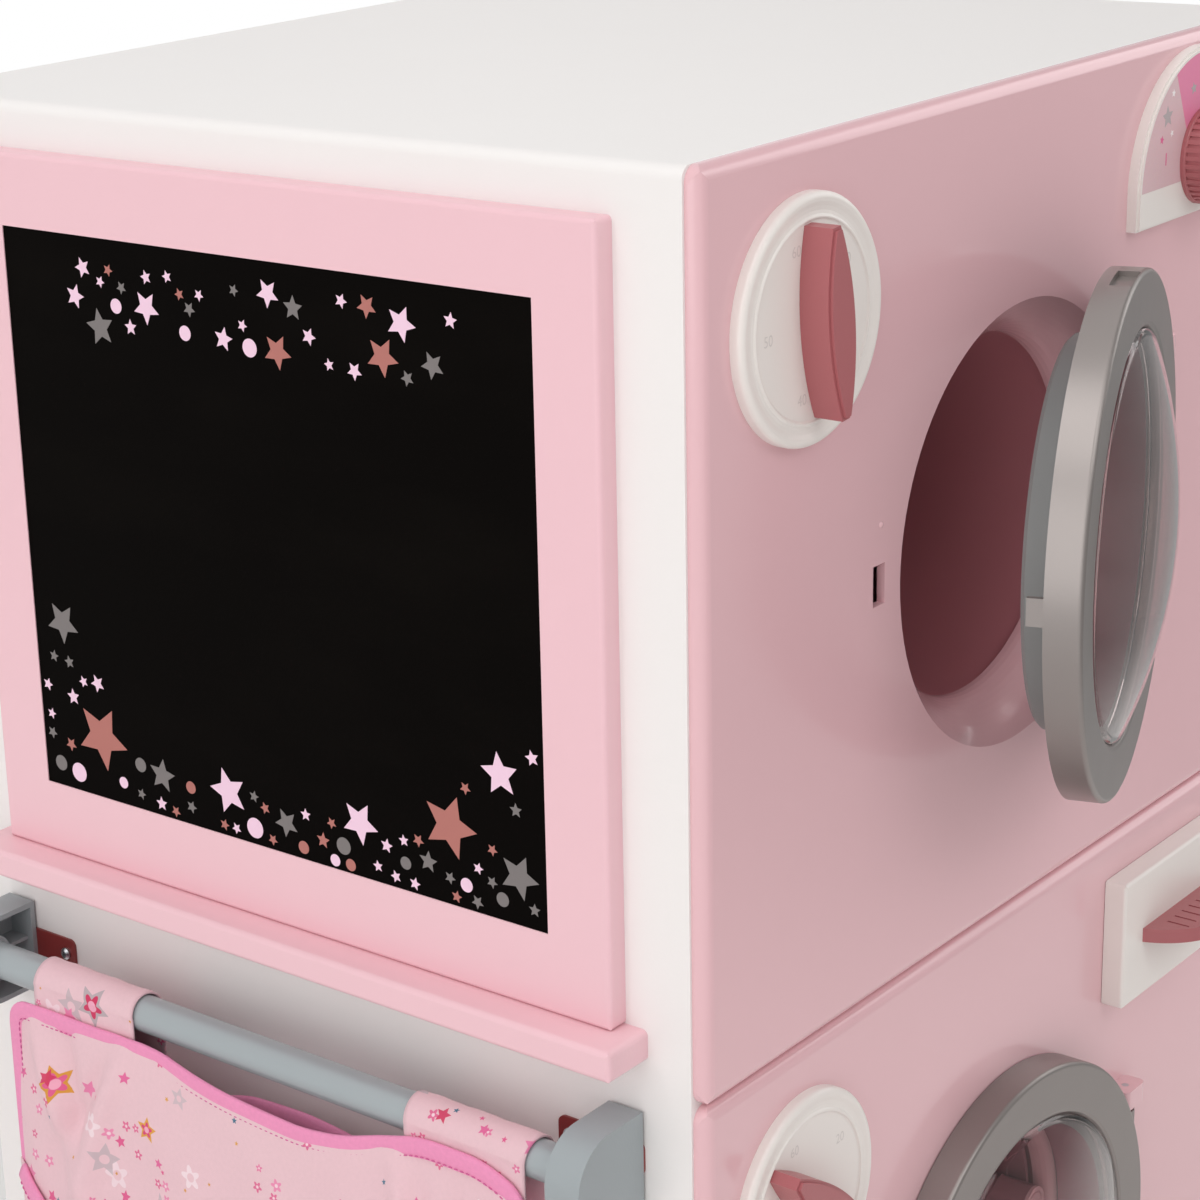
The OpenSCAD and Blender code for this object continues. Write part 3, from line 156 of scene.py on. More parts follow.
def makeLights(settings):
    for name, (place, target, side, watts) in settings["lamps"].items():
        data = bpy.data.lights.new(name, "AREA")
        data.shape = "SQUARE"
        data.size = side
        data.energy = watts
        lamp = bpy.data.objects.new(name, data)
        lamp.location = Vector(place) + Vector(cabinetShift)
        aim = Vector(target) - Vector(place)
        lamp.rotation_euler = aim.to_track_quat("-Z", "Y").to_euler()
        lamp.visible_camera = False
        bpy.context.scene.collection.objects.link(lamp)
    world = bpy.data.worlds.new("studio")
    world.use_nodes = True
    tree = world.node_tree
    tree.nodes.clear()
    rays, seen = seenRays(tree)
    soft = addNode(tree, "Background", {"Color": settings["ambientTint"],
                                        "Strength": settings["ambient"]})
    towards = addNode(tree, "TexCoord")
    level = glossLevel(tree, (towards, "Generated"), rays, settings)
    plain = addNode(tree, "Background", {"Color": (1, 1, 1, 1), "Strength": level})
    mixed = addNode(tree, "MixShader", {0: seen, 1: (soft, 0), 2: (plain, 0)})
    addNode(tree, "OutputWorld", {0: (mixed, 0)})
    bpy.context.scene.world = world
    bpy.context.scene.view_settings.view_transform = "Standard"


makeCamera(cameraSettings)
makeLights(lightSettings)
print("camera and lights made")


# meshes from arrays
def meshFromArrays(name, points, faces, uv=None, smooth=True):
    # points (n, 3) in metres, faces (m, 3 or 4), uv one pair per point
    points = np.asarray(np.asarray(points) + cabinetShift, np.float32)
    faces = np.asarray(faces, np.int32)
    mesh = bpy.data.meshes.new(name)
    count, corners = faces.shape
    mesh.vertices.add(len(points))
    mesh.vertices.foreach_set("co", points.ravel())
    mesh.loops.add(count * corners)
    mesh.loops.foreach_set("vertex_index", faces.ravel())
    mesh.polygons.add(count)
    mesh.polygons.foreach_set("loop_start", np.arange(count, dtype=np.int32) * corners)
    mesh.polygons.foreach_set("use_smooth", np.full(count, smooth))
    if uv is not None:
        layer = mesh.uv_layers.new(name="clothUV")
        layer.data.foreach_set("uv", np.asarray(uv, np.float32)[faces.ravel()].ravel())
    mesh.update(calc_edges=True)
    mesh.validate()
    made = bpy.data.objects.new(name, mesh)
    bpy.context.scene.collection.objects.link(made)
    return made


def gridFaces(rows, columns, closeRows=False, closeColumns=False):
    # quads of a grid whose point (i, j) has the number i * columns + j
    i = np.arange(rows if closeRows else rows - 1)
    j = np.arange(columns if closeColumns else columns - 1)
    i, j = np.meshgrid(i, j, indexing="ij")
    below, beside = (i + 1) % rows, (j + 1) % columns
    quads = np.stack(
        [i * columns + j, below * columns + j, below * columns + beside, i * columns + beside],
        -1,
    )
    return quads.reshape(-1, 4)


def endFans(rows, columns):
    # triangles from two middle points, numbered after the grid, to its first and last row
    j = np.arange(columns)
    k = (j + 1) % columns
    last = (rows - 1) * columns
    return [np.stack([np.full(columns, rows * columns), j, k], 1),
            np.stack([np.full(columns, rows * columns + 1), last + k, last + j], 1)]


def gridMesh(name, points, uv, flip=False):
    # an open grid of points with one uv pair each
    faces = gridFaces(*points.shape[:2])
    if flip:
        faces = faces[:, ::-1]
    return meshFromArrays(name, points.reshape(-1, 3), faces, uv.reshape(-1, 2))


def unit(vectors):
    # each vector over its length
    return vectors / np.maximum(np.linalg.norm(vectors, axis=-1, keepdims=True), 1e-12)


def along(path, closed=False):
    # direction of travel at each point of a path
    if closed:
        return unit(np.roll(path, -1, 0) - np.roll(path, 1, 0))
    return unit(np.gradient(path, axis=0))


def lengths(path):
    # distance travelled up to each point of a path
    steps = np.linalg.norm(np.diff(path, axis=0), axis=1)
    return np.concatenate([[0], np.cumsum(steps)])


def resample(path, step):
    # the same path with points about one step apart
    travelled = lengths(path)
    count = max(4, int(round(travelled[-1] / step)) + 1)
    wanted = np.linspace(0, travelled[-1], count)
    return np.stack([np.interp(wanted, travelled, path[:, k]) for k in range(path.shape[1])], 1)


def smoothStep(x):
    # 3 x^2 - 2 x^3, held at 0 below 0 and at 1 above 1
    x = np.clip(x, 0, 1)
    return x * x * (3 - 2 * x)


def bump(x, width):
    # e to the power of -(x / width)^2
    return np.exp(-((x / width) ** 2))


def sweepBand(name, path, inward, outward, halfWide, halfThick, closed, sides=20):
    # a flattened ring section carried along the path: at angle t the point lies
    # inward by halfWide * cos(t)^0.55 and outward by halfThick * sin(t)^0.8
    t = np.linspace(0, 2 * np.pi, sides, endpoint=False)
    wide = np.sign(np.cos(t)) * np.abs(np.cos(t)) ** 0.55 * halfWide
    thick = np.sign(np.sin(t)) * np.abs(np.sin(t)) ** 0.8 * halfThick
    points = (
        path[:, None, :]
        + inward[:, None, :] * wide[None, :, None]
        + outward[:, None, :] * thick[None, :, None]
    )
    travelled = lengths(path)
    around = np.concatenate([[0], np.cumsum(np.hypot(np.diff(wide), np.diff(thick)))])
    uv = np.stack(np.meshgrid(travelled, around, indexing="ij"), -1) * mm
    rows, columns = points.shape[:2]
    faces = gridFaces(rows, columns, closed, True)
    flat = points.reshape(-1, 3)
    uv = uv.reshape(-1, 2)
    if not closed:  # the ends are closed by a fan to a middle point
        flat = np.concatenate([flat, path[:1], path[-1:]])
        uv = np.concatenate([uv, uv[:1], uv[-1:]])
        made = meshFromLists(name, flat * mm, faces, endFans(rows, columns), uv)
    else:
        made = meshFromArrays(name, flat * mm, faces, uv)
    return pointOutwards(made)


def meshFromLists(name, points, quads, triangleSets, uv=None):
    # a mesh of quads and triangles together
    points = np.asarray(points) + cabinetShift
    mesh = bpy.data.meshes.new(name)
    faces = quads.tolist() + [f for group in triangleSets for f in group.tolist()]
    mesh.from_pydata(points.tolist(), [], faces)
    mesh.polygons.foreach_set("use_smooth", np.ones(len(mesh.polygons), bool))
    if uv is not None:
        index = np.zeros(len(mesh.loops), np.int32)
        mesh.loops.foreach_get("vertex_index", index)
        layer = mesh.uv_layers.new(name="clothUV")
        layer.data.foreach_set("uv", np.asarray(uv, np.float32)[index].ravel())
    mesh.update(calc_edges=True)
    made = bpy.data.objects.new(name, mesh)
    bpy.context.scene.collection.objects.link(made)
    return made


def pointOutwards(piece):
    # turns a closed mesh the right way out where its volume comes out negative
    mesh = piece.data
    mesh.calc_loop_triangles()
    co = np.zeros(len(mesh.vertices) * 3, np.float32)
    mesh.vertices.foreach_get("co", co)
    co = co.reshape(-1, 3)
    tri = np.zeros(len(mesh.loop_triangles) * 3, np.int32)
    mesh.loop_triangles.foreach_get("vertices", tri)
    a, b, c = (co[tri.reshape(-1, 3)[:, k]] for k in range(3))
    if np.einsum("ij,ij->i", a, np.cross(b, c)).sum() < 0:
        mesh.flip_normals()
    return piece


# shared effects
def newGroup(name, inputs, outputs):
    # an empty node group; sockets are (label, f, c or v for the kind, starting value)
    tree = bpy.data.node_groups.new(name, "ShaderNodeTree")
    kinds = {"f": "NodeSocketFloat", "c": "NodeSocketColor", "v": "NodeSocketVector"}
    for label, kind, value in inputs:
        socket = tree.interface.new_socket(label, in_out="INPUT", socket_type=kinds[kind])
        if value is not None:
            socket.default_value = value
    for label, kind in outputs:
        tree.interface.new_socket(label, in_out="OUTPUT", socket_type=kinds[kind])
    start = tree.nodes.new("NodeGroupInput")
    end = tree.nodes.new("NodeGroupOutput")
    return tree, start, end


def makeMouldedSkin():
    # slow drift of tone, soft smears in the gloss and a fine ripple of the surface
    tree, start, end = newGroup(
        "mouldedSkin",
        [("Place", "v", None), ("Colour", "c", (1, 1, 1, 1)), ("Drift", "f", 0.03),
         ("Drift size", "f", 7.0), ("Ripple size", "f", 260.0), ("Gloss", "f", 0.3),
         ("Smear", "f", 0.05)],
        [("Colour", "c"), ("Roughness", "f"), ("Ripple", "f")],
    )
    slow = addNode(tree, "TexNoise", {"Vector": (start, "Place"), "Scale": (start, "Drift size"),
                                      "Detail": 2.0})
    centred = calculate(tree, "SUBTRACT", (slow, "Fac"), 0.5)
    swing = calculate(tree, "MULTIPLY", centred, (start, "Drift"))
    level = calculate(tree, "ADD", swing, 1.0)
    tinted = addNode(tree, "VectorMath", {0: (start, "Colour"), 3: level}, operation="SCALE")
    smear = addNode(tree, "TexNoise", {"Vector": (start, "Place"), "Scale": 38.0, "Detail": 3.0})
    smearCentred = calculate(tree, "SUBTRACT", (smear, "Fac"), 0.5)
    smearSwing = calculate(tree, "MULTIPLY", smearCentred, (start, "Smear"))
    rough = calculate(tree, "ADD", smearSwing, (start, "Gloss"))
    ripple = addNode(tree, "TexNoise", {"Vector": (start, "Place"), "Scale": (start, "Ripple size"),
                                        "Detail": 1.0})
    tree.links.new(tinted.outputs[0], end.inputs["Colour"])
    tree.links.new(rough[0].outputs[0], end.inputs["Roughness"])
    tree.links.new(ripple.outputs["Fac"], end.inputs["Ripple"])
    return tree


def makeThreadWeave():
    # plain weave: warp and weft ridges that take turns on top, from a flat cloth place
    tree, start, end = newGroup(
        "threadWeave",
        [("Place", "v", None), ("Threads", "f", 1400.0)],
        [("Height", "f"), ("Shade", "f")],
    )
    scaled = addNode(tree, "VectorMath", {0: (start, "Place"), 3: (start, "Threads")},
                     operation="SCALE")
    split = addNode(tree, "SeparateXYZ", {0: (scaled, 0)})
    warp = calculate(tree, "SINE", calculate(tree, "MULTIPLY", (split, "X"), math.pi))
    weft = calculate(tree, "SINE", calculate(tree, "MULTIPLY", (split, "Y"), math.pi))
    over = calculate(tree, "MULTIPLY", warp, weft)
    top = calculate(tree, "GREATER_THAN", over, 0.0)
    warpRidge = calculate(tree, "ABSOLUTE", warp)
    weftRidge = calculate(tree, "ABSOLUTE", weft)
    height = addNode(tree, "Mix", {0: top, 2: warpRidge, 3: weftRidge})
    fuzz = addNode(tree, "TexNoise", {"Vector": (start, "Place"), "Scale": 420.0, "Detail": 3.0})
    rough = calculate(tree, "MULTIPLY", (fuzz, "Fac"), 0.5)
    total = calculate(tree, "ADD", (height, 0), rough)
    tree.links.new(total[0].outputs[0], end.inputs["Height"])
    tree.links.new(fuzz.outputs["Fac"], end.inputs["Shade"])
    return tree


def makeMotifField():
    # one motif in some of the cells of a Voronoi pattern. Each has its own turn, and its
    # edge is r * cos(angle within the arm - slope) for a star, or a petal wave for a flower
    tree, start, end = newGroup(
        "motifField",
        [("Place", "v", None), ("Cells", "f", 30.0), ("Size", "f", 0.3), ("Share", "f", 0.5),
         ("Petals", "f", 0.0), ("Eye", "f", 0.0), ("Shift", "f", 0.0), ("Bunches", "f", 20.0),
         ("Bunch reach", "f", 9.0)],
        [("Mask", "f"), ("Eye mask", "f"), ("Chance", "f")],
    )
    moved = addNode(tree, "VectorMath", {0: (start, "Place"), 1: (start, "Shift")}, operation="ADD")
    cells = addNode(tree, "TexVoronoi", {"Vector": (moved, 0), "Scale": (start, "Cells"),
                                         "Randomness": 0.85}, voronoi_dimensions="2D")
    scaled = addNode(tree, "VectorMath", {0: (moved, 0), 3: (start, "Cells")}, operation="SCALE")
    heart = addNode(tree, "VectorMath", {0: (cells, "Position"), 3: (start, "Cells")},
                    operation="SCALE")
    apart = addNode(tree, "VectorMath", {0: (scaled, 0), 1: (heart, 0)}, operation="SUBTRACT")
    offset = addNode(tree, "VectorMath", {0: (apart, 0), 1: (1, 1, 0)}, operation="MULTIPLY")
    split = addNode(tree, "SeparateXYZ", {0: (offset, 0)})
    chance = addNode(tree, "SeparateColor", {0: (cells, "Color")})
    turn = calculate(tree, "MULTIPLY", (chance, "Green"), 6.2832)
    angle = calculate(tree, "ADD", calculate(tree, "ARCTAN2", (split, "Y"), (split, "X")), turn)
    arm = calculate(tree, "PINGPONG", angle, math.pi / 5)
    size = calculate(tree, "MULTIPLY", (start, "Size"),
                     calculate(tree, "MULTIPLY_ADD", (chance, "Blue"), 0.5, 0.6))
    radius = addNode(tree, "VectorMath", {0: (offset, 0)}, operation="LENGTH")
    # the side of a star's arm runs from the tip (1, 0) to the notch (0.5 at 36 degrees)
    notch = 0.5
    nx, ny = notch * math.sin(math.pi / 5), 1 - notch * math.cos(math.pi / 5)
    norm = math.hypot(nx, ny)
    slope, reach = math.atan2(ny, nx), nx / norm
    leaning = calculate(tree, "COSINE", calculate(tree, "SUBTRACT", arm, slope))
    starEdge = calculate(tree, "DIVIDE", calculate(tree, "MULTIPLY", size, reach), leaning)
    petalWave = calculate(tree, "COSINE", calculate(tree, "MULTIPLY", angle, 5.0))
    petalEdge = calculate(tree, "MULTIPLY", size,
                          calculate(tree, "MULTIPLY_ADD", petalWave, 0.22, 0.72))
    edge = addNode(tree, "Mix", {0: (start, "Petals"), 2: starEdge, 3: petalEdge})
    inside = calculate(tree, "SUBTRACT", (edge, 0), (radius, 1))
    sharp = calculate(tree, "DIVIDE", 2500.0, (start, "Cells"))   # an edge 0.4 mm wide
    soft = calculate(tree, "MULTIPLY", inside, sharp, clamp=True)
    picked = calculate(tree, "LESS_THAN", (chance, "Red"), (start, "Share"))
    # a motif is kept only where its own heart is near the heart of a bunch
    bunch = addNode(tree, "TexVoronoi", {"Vector": (cells, "Position"), "Scale": (start, "Bunches"),
                                         "Randomness": 0.9}, voronoi_dimensions="2D")
    near = calculate(tree, "LESS_THAN", (bunch, "Distance"), (start, "Bunch reach"))
    picked = calculate(tree, "MULTIPLY", picked, near)
    mask = calculate(tree, "MULTIPLY", soft, picked)
    eyeEdge = calculate(tree, "MULTIPLY", size, (start, "Eye"))
    eyeDepth = calculate(tree, "SUBTRACT", eyeEdge, (radius, 1))
    eyeInside = calculate(tree, "MULTIPLY", eyeDepth, sharp, clamp=True)
    eyeMask = calculate(tree, "MULTIPLY", eyeInside, picked)
    tree.links.new(mask[0].outputs[0], end.inputs["Mask"])
    tree.links.new(eyeMask[0].outputs[0], end.inputs["Eye mask"])
    tree.links.new(chance.outputs["Blue"], end.inputs["Chance"])
    return tree


mouldedSkin = makeMouldedSkin()
threadWeave = makeThreadWeave()
motifField = makeMotifField()


def startMaterial(name):
    # a material with one Principled shader, and its Texture Coordinate node
    material = bpy.data.materials.new(name)
    material.use_nodes = True
    tree = material.node_tree
    tree.nodes.clear()
    shader = addNode(tree, "BsdfPrincipled")
    addNode(tree, "OutputMaterial", {0: (shader, 0)})
    place = addNode(tree, "TexCoord")
    return material, tree, shader, place


def reliefOn(tree, shader, strength, distance, height):
    # a bump of the given depth in metres on the shader's own normal
    relief = addNode(tree, "Bump", {"Strength": strength, "Distance": distance, "Height": height})
    tree.links.new(relief.outputs[0], shader.inputs["Normal"])


def skinMaterial(name, colour, gloss=0.3, drift=0.03, smear=0.05, ripple=0.02, rippleSize=260.0,
                 driftSize=7.0, metallic=0.0, coat=0.0, coatRough=0.1, specular=0.5):
    # moulded, lacquered or painted surface: the skin group over one colour
    material, tree, shader, place = startMaterial(name)
    skin = useGroup(tree, mouldedSkin, {
        "Place": (place, "Object"), "Colour": srgb(colour), "Drift": drift, "Drift size": driftSize,
        "Ripple size": rippleSize, "Gloss": gloss, "Smear": smear})
    tree.links.new(skin.outputs["Colour"], shader.inputs["Base Color"])
    tree.links.new(skin.outputs["Roughness"], shader.inputs["Roughness"])
    reliefOn(tree, shader, ripple, 0.001, (skin, "Ripple"))
    shader.inputs["Metallic"].default_value = metallic
    shader.inputs["Coat Weight"].default_value = coat
    shader.inputs["Coat Roughness"].default_value = coatRough
    shader.inputs["Specular IOR Level"].default_value = specular
    return material


# materials of the hard pieces
finishes = {
    "white_board": dict(colour="F2EEEC", gloss=0.42, drift=0.012, ripple=0.05, rippleSize=620.0),
    "steel": dict(colour="B9BABD", gloss=0.32, metallic=1.0, drift=0.12, ripple=0.05),
    "glide_plastic": dict(colour="D9D8D6", gloss=0.5),
    "pink_moulding": dict(colour="E8BBC1", gloss=0.17, drift=0.02, smear=0.03, ripple=0.03,
                          rippleSize=90.0, coat=0.25, coatRough=0.06),
    "tub_rose": dict(colour="BE7E86", gloss=0.38, drift=0.05, ripple=0.04),
    "silver_plastic": dict(colour="938C89", gloss=0.34, metallic=0.65, drift=0.05, smear=0.06,
                           ripple=0.03, rippleSize=900.0),
    "drum_rose": dict(colour="B07C86", gloss=0.33, drift=0.04, ripple=0.03),
    "pale_pink": dict(colour="EBC2C8", gloss=0.28, drift=0.03, ripple=0.03),
    "white_plastic": dict(colour="EFE8E3", gloss=0.3, drift=0.015, ripple=0.04, rippleSize=300.0),
    "rose_plastic": dict(colour="AE6367", gloss=0.34, drift=0.04, ripple=0.05, rippleSize=500.0),
    "pink_paint": dict(colour="F0C4CC", gloss=0.36, drift=0.02, ripple=0.05, rippleSize=420.0),
    "rail_paint": dict(colour="A3AAAD", gloss=0.3, drift=0.03, ripple=0.04, rippleSize=700.0,
                       metallic=0.15),
    "bracket_grey": dict(colour="9EA5A8", gloss=0.4, drift=0.03, ripple=0.05, rippleSize=500.0),
    "wine_paint": dict(colour="84302F", gloss=0.35, drift=0.05, ripple=0.04, rippleSize=500.0),
}


def makeSlate(settings):
    # matt blackboard: faint broad wiping marks and a dry, finely pitted surface
    material, tree, shader, place = startMaterial("slate")
    stretched = addNode(tree, "Mapping", {"Vector": (place, "Object"), "Scale": (1, 5.0, 14.0)})
    wipe = addNode(tree, "TexNoise", {"Vector": (stretched, 0), "Scale": 1.6, "Detail": 4.0})
    dust = addNode(tree, "ValToRGB", {0: (wipe, "Fac")})
    dust.color_ramp.elements[0].position = 0.45
    dust.color_ramp.elements[0].color = srgb(settings["black"])
    dust.color_ramp.elements[1].position = 0.85
    dust.color_ramp.elements[1].color = srgb(settings["wiped"])
    tree.links.new(dust.outputs[0], shader.inputs["Base Color"])
    pits = addNode(tree, "TexNoise", {"Vector": (place, "Object"), "Scale": 1300.0, "Detail": 2.0})
    reliefOn(tree, shader, 0.12, 0.0005, (pits, "Fac"))
    shader.inputs["Roughness"].default_value = 0.7
    shader.inputs["Specular IOR Level"].default_value = 0.03
    return material


def makeClearWindow(settings):
    # clear moulding with faint swirl in its surface
    material, tree, shader, place = startMaterial("clear_window")
    shader.inputs["Base Color"].default_value = srgb(settings["tint"])
    shader.inputs["Transmission Weight"].default_value = 1.0
    shader.inputs["IOR"].default_value = settings["bend"]
    skin = useGroup(tree, mouldedSkin, {
        "Place": (place, "Object"), "Gloss": settings["gloss"], "Smear": 0.01, "Ripple size": 24.0})
    tree.links.new(skin.outputs["Roughness"], shader.inputs["Roughness"])
    reliefOn(tree, shader, 0.02, 0.001, (skin, "Ripple"))
    return material


def makeLabelPrint(settings):
    # printed film in three sectors: the angle from straight up about one point picks the colour
    material, tree, shader, place = startMaterial("label_print")
    apex = (settings["apex"][0] + float(cabinetShift[0]), 0, settings["apex"][1])
    centred = addNode(tree, "VectorMath", {0: (place, "Object"), 1: apex}, operation="SUBTRACT")
    split = addNode(tree, "SeparateXYZ", {0: (centred, 0)})
    angle = calculate(tree, "ARCTAN2", (split, "X"), (split, "Z"))
    share = calculate(tree, "MULTIPLY_ADD", angle, 0.5 / math.pi, 0.5)
    bands = addNode(tree, "ValToRGB", {0: share})
    ramp = bands.color_ramp
    ramp.interpolation = "CONSTANT"
    ramp.elements[0].position = 0.0
    ramp.elements[0].color = srgb(settings["left"])
    ramp.elements[1].position = 0.5 - settings["halfTurn"] / 360
    ramp.elements[1].color = srgb(settings["middle"])
    third = ramp.elements.new(0.5 + settings["halfTurn"] / 360)
    third.color = srgb(settings["right"])
    dots = addNode(tree, "TexNoise", {"Vector": (place, "Object"), "Scale": 500.0, "Detail": 2.0})
    tint = addNode(tree, "Mix", {0: 0.04, 6: (bands, 0), 7: (dots, "Color")}, data_type="RGBA")
    tree.links.new(tint.outputs[2], shader.inputs["Base Color"])
    reliefOn(tree, shader, 0.03, 0.0005, (dots, "Fac"))
    shader.inputs["Roughness"].default_value = 0.34
    return material


def makeRingSilverWithPaintedReflection(name, centre, inside, settings):
    # satin grey outside; on the inside a dark rose is painted on as the reflection of the pink tub,
    # not the ring's own colour: the inside is where the surface's normal points back at the ring's
    # own middle
    material, tree, shader, place = startMaterial(name)
    skin = useGroup(tree, mouldedSkin, {
        "Place": (place, "Object"), "Colour": srgb(settings["outside"]), "Drift": 0.05,
        "Ripple size": 900.0, "Gloss": 0.45, "Smear": 0.08})
    middle = tuple(float(v) for v in np.array(centre) * mm + cabinetShift)
    radial = addNode(tree, "VectorMath", {0: (place, "Object"), 1: middle}, operation="SUBTRACT")
    outwards = addNode(tree, "VectorMath", {0: (radial, 0), 1: (place, "Normal")},
                       operation="DOT_PRODUCT")
    # the inner wall, which takes the painted reflection colour
    inner = calculate(tree, "LESS_THAN", (outwards, 1), -settings["deep"] * mm)
    tint = addNode(tree, "Mix", {0: inner, 6: (skin, "Colour"), 7: srgb(inside)}, data_type="RGBA")
    tree.links.new(tint.outputs[2], shader.inputs["Base Color"])
    rough = addNode(tree, "Mix", {0: inner, 2: (skin, "Roughness"), 3: settings["polish"]})
    tree.links.new(rough.outputs[0], shader.inputs["Roughness"])
    reliefOn(tree, shader, 0.03, 0.001, (skin, "Ripple"))
    shader.inputs["Specular IOR Level"].default_value = 0.25
    return material


ringSettings = {"outside": "868988", "polish": 0.22, "deep": 60.0,
                # the middle of each ring, where the upper door stands open, and the rose painted on
                # its inside as a reflection of the pink tub
                "rings": {"upper_back_ring": ((3.2, -295.2, 671.4), "80535A"),
                          "lower_back_ring": ((0.0, -255.0, 223.5), "B98590")}}
labelSettings = {"apex": (0.1775, 0.8063), "halfTurn": 24.6,
                 "left": "DFBDC2", "middle": "EA86AC", "right": "D9637F"}
materials = {name: skinMaterial(name, **values) for name, values in finishes.items()}
materials["silver_shade"] = skinMaterial("silver_shade", ringSettings["outside"], gloss=0.45)
materials["slate"] = makeSlate({"black": "060403", "wiped": "0B0806"})
materials["clear_window"] = makeClearWindow({"tint": "F4E9E8", "gloss": 0.008, "bend": 1.36})
materials["label_print"] = makeLabelPrint(labelSettings)

slotOf = {row["node"]: row["material_slot"] for row in frame["record"]["subparts"]}
for nodeName, nodeObject in nodes.items():
    finish = materials.get(slotOf[nodeName])
    if finish is None:
        continue
    if not nodeObject.data.materials:
        nodeObject.data.materials.append(finish)
    for index in range(len(nodeObject.material_slots)):
        nodeObject.material_slots[index].material = finish
for nodeName, (centre, inside) in ringSettings["rings"].items():
    nodes[nodeName].material_slots[0].material = makeRingSilverWithPaintedReflection(
        nodeName + "_silver", centre, inside, ringSettings)
print("hard pieces finished:", len(materials), "materials")


# windows of the two doors
windowSettings = {
    "ports": {"upper": 671.4, "lower": 223.5},
    "turn": {"upper": 17.4, "lower": 0.0},   # how far each door stands open, in degrees
    "hinge": (133.0, -264.6),
    "radius": 104.93,
    "rimRadius": 110.0,
    "front": -277.2,                         # the bezel's front
    "rim": (-271.15, -268.75),
    "chamfer": 0.4,
    "rise": 20.0,
    "thick": 2.4,
    "around": 160,
}


def makeWindow(which, settings):
    # one closed profile turned about the porthole's axis: outer face of the dome, where the
    # height is rise * (1 - (r / radius)^2), its collar and rim, and the inner face back
    s = settings
    share = np.linspace(0.0, 1.0, 49)[1:]
    outerR = s["radius"] * share
    outerY = s["front"] - s["rise"] * (1 - share**2)
    innerR = (s["radius"] - s["thick"]) * share[::-1]
    innerY = s["front"] + s["thick"] - s["rise"] * (1 - (innerR / s["radius"]) ** 2)
    rimStart, rimEnd = s["rim"]
    rimR = [s["radius"], s["rimRadius"] - s["chamfer"], s["rimRadius"], s["rimRadius"],
            s["radius"] - s["thick"]]
    rimY = [rimStart, rimStart, rimStart + s["chamfer"], rimEnd, rimEnd]
    r = np.concatenate([outerR, rimR, innerR])
    y = np.concatenate([outerY, rimY, innerY])
    t = np.linspace(0, 2 * np.pi, s["around"], endpoint=False)
    ring = np.stack([r[:, None] * np.cos(t), np.broadcast_to(y[:, None], (len(r), len(t))),
                     r[:, None] * np.sin(t)], -1)
    poles = np.array([[0, s["front"] - s["rise"], 0], [0, s["front"] + s["thick"] - s["rise"], 0]])
    points = np.concatenate([ring.reshape(-1, 3), poles])
    turn = math.radians(s["turn"][which])
    hingeX, hingeY = s["hinge"]
    x, y = points[:, 0] - hingeX, points[:, 1] - hingeY
    points = np.stack([hingeX + x * math.cos(turn) - y * math.sin(turn),
                       hingeY + x * math.sin(turn) + y * math.cos(turn),
                       points[:, 2] + s["ports"][which]], -1)
    rows, columns = ring.shape[:2]
    quads = gridFaces(rows, columns, False, True)
    piece = meshFromLists(which + "_dome", points * mm, quads, endFans(rows, columns))
    pointOutwards(piece)
    piece.data.materials.append(materials["clear_window"])
    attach(piece, which + "_door")
    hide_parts(which + "_window")


for which in windowSettings["ports"]:
    makeWindow(which, windowSettings)
print("windows made")


# floor
def makeFloor(settings):
    # a plain plate: round the object it is a pale surface that takes its shadow, and further
    # out what the camera, gloss and glass see of it turns plain white, as the background is
    half = settings["half"]
    corners = np.array([[-half, -half, 0], [half, -half, 0], [half, half, 0], [-half, half, 0]])
    made = meshFromArrays("studioFloor", corners, np.array([[0, 1, 2, 3]]), smooth=False)
    material, tree, shader, place = startMaterial("studioFloor")
    cloudy = addNode(tree, "TexNoise", {"Vector": (place, "Object"), "Scale": 1.5, "Detail": 3.0})
    tone = addNode(tree, "Mix", {0: (cloudy, "Fac"), 6: srgb(settings["colour"]),
                                 7: srgb(settings["cloud"])}, data_type="RGBA")
    tree.links.new(tone.outputs[2], shader.inputs["Base Color"])
    shader.inputs["Roughness"].default_value = 0.8
    flat = addNode(tree, "VectorMath", {0: (place, "Object"), 1: (1, 1, 0)}, operation="MULTIPLY")
    away = addNode(tree, "VectorMath", {0: (flat, 0)}, operation="LENGTH")
    fade = addNode(tree, "MapRange", {"Value": (away, 1), "From Min": settings["shadowReach"],
                                      "From Max": settings["whiteFrom"]},
                   interpolation_type="SMOOTHSTEP")
    rays, seen = seenRays(tree)
    outwards = addNode(tree, "VectorMath", {0: (flat, 0)}, operation="NORMALIZE")
    level = glossLevel(tree, (outwards, 0), rays, lightSettings)
    white = addNode(tree, "Emission", {"Color": (1, 1, 1, 1), "Strength": level})
    mixed = addNode(tree, "MixShader", {0: calculate(tree, "MULTIPLY", seen, (fade, 0)),
                                        1: (shader, 0), 2: (white, 0)})
    tree.links.new(mixed.outputs[0], tree.nodes["Material Output"].inputs[0])
    made.data.materials.append(material)


makeFloor(floorSettings)
print("floor made")


# numbers on the dials and the label
dialSettings = {
    "centres": {"upper": (-204.0, 819.0), "lower": (-204.0, 374.5)},
    "marks": ((112, "60"), (40, "20"), (328, "30"), (256, "40"), (184, "50")),
    "radius": 36.0,
    "size": 7.4,
    "front": -263.5,
    "rise": 0.036,       # the knobs turn 0.05 mm above the dials' floor
}


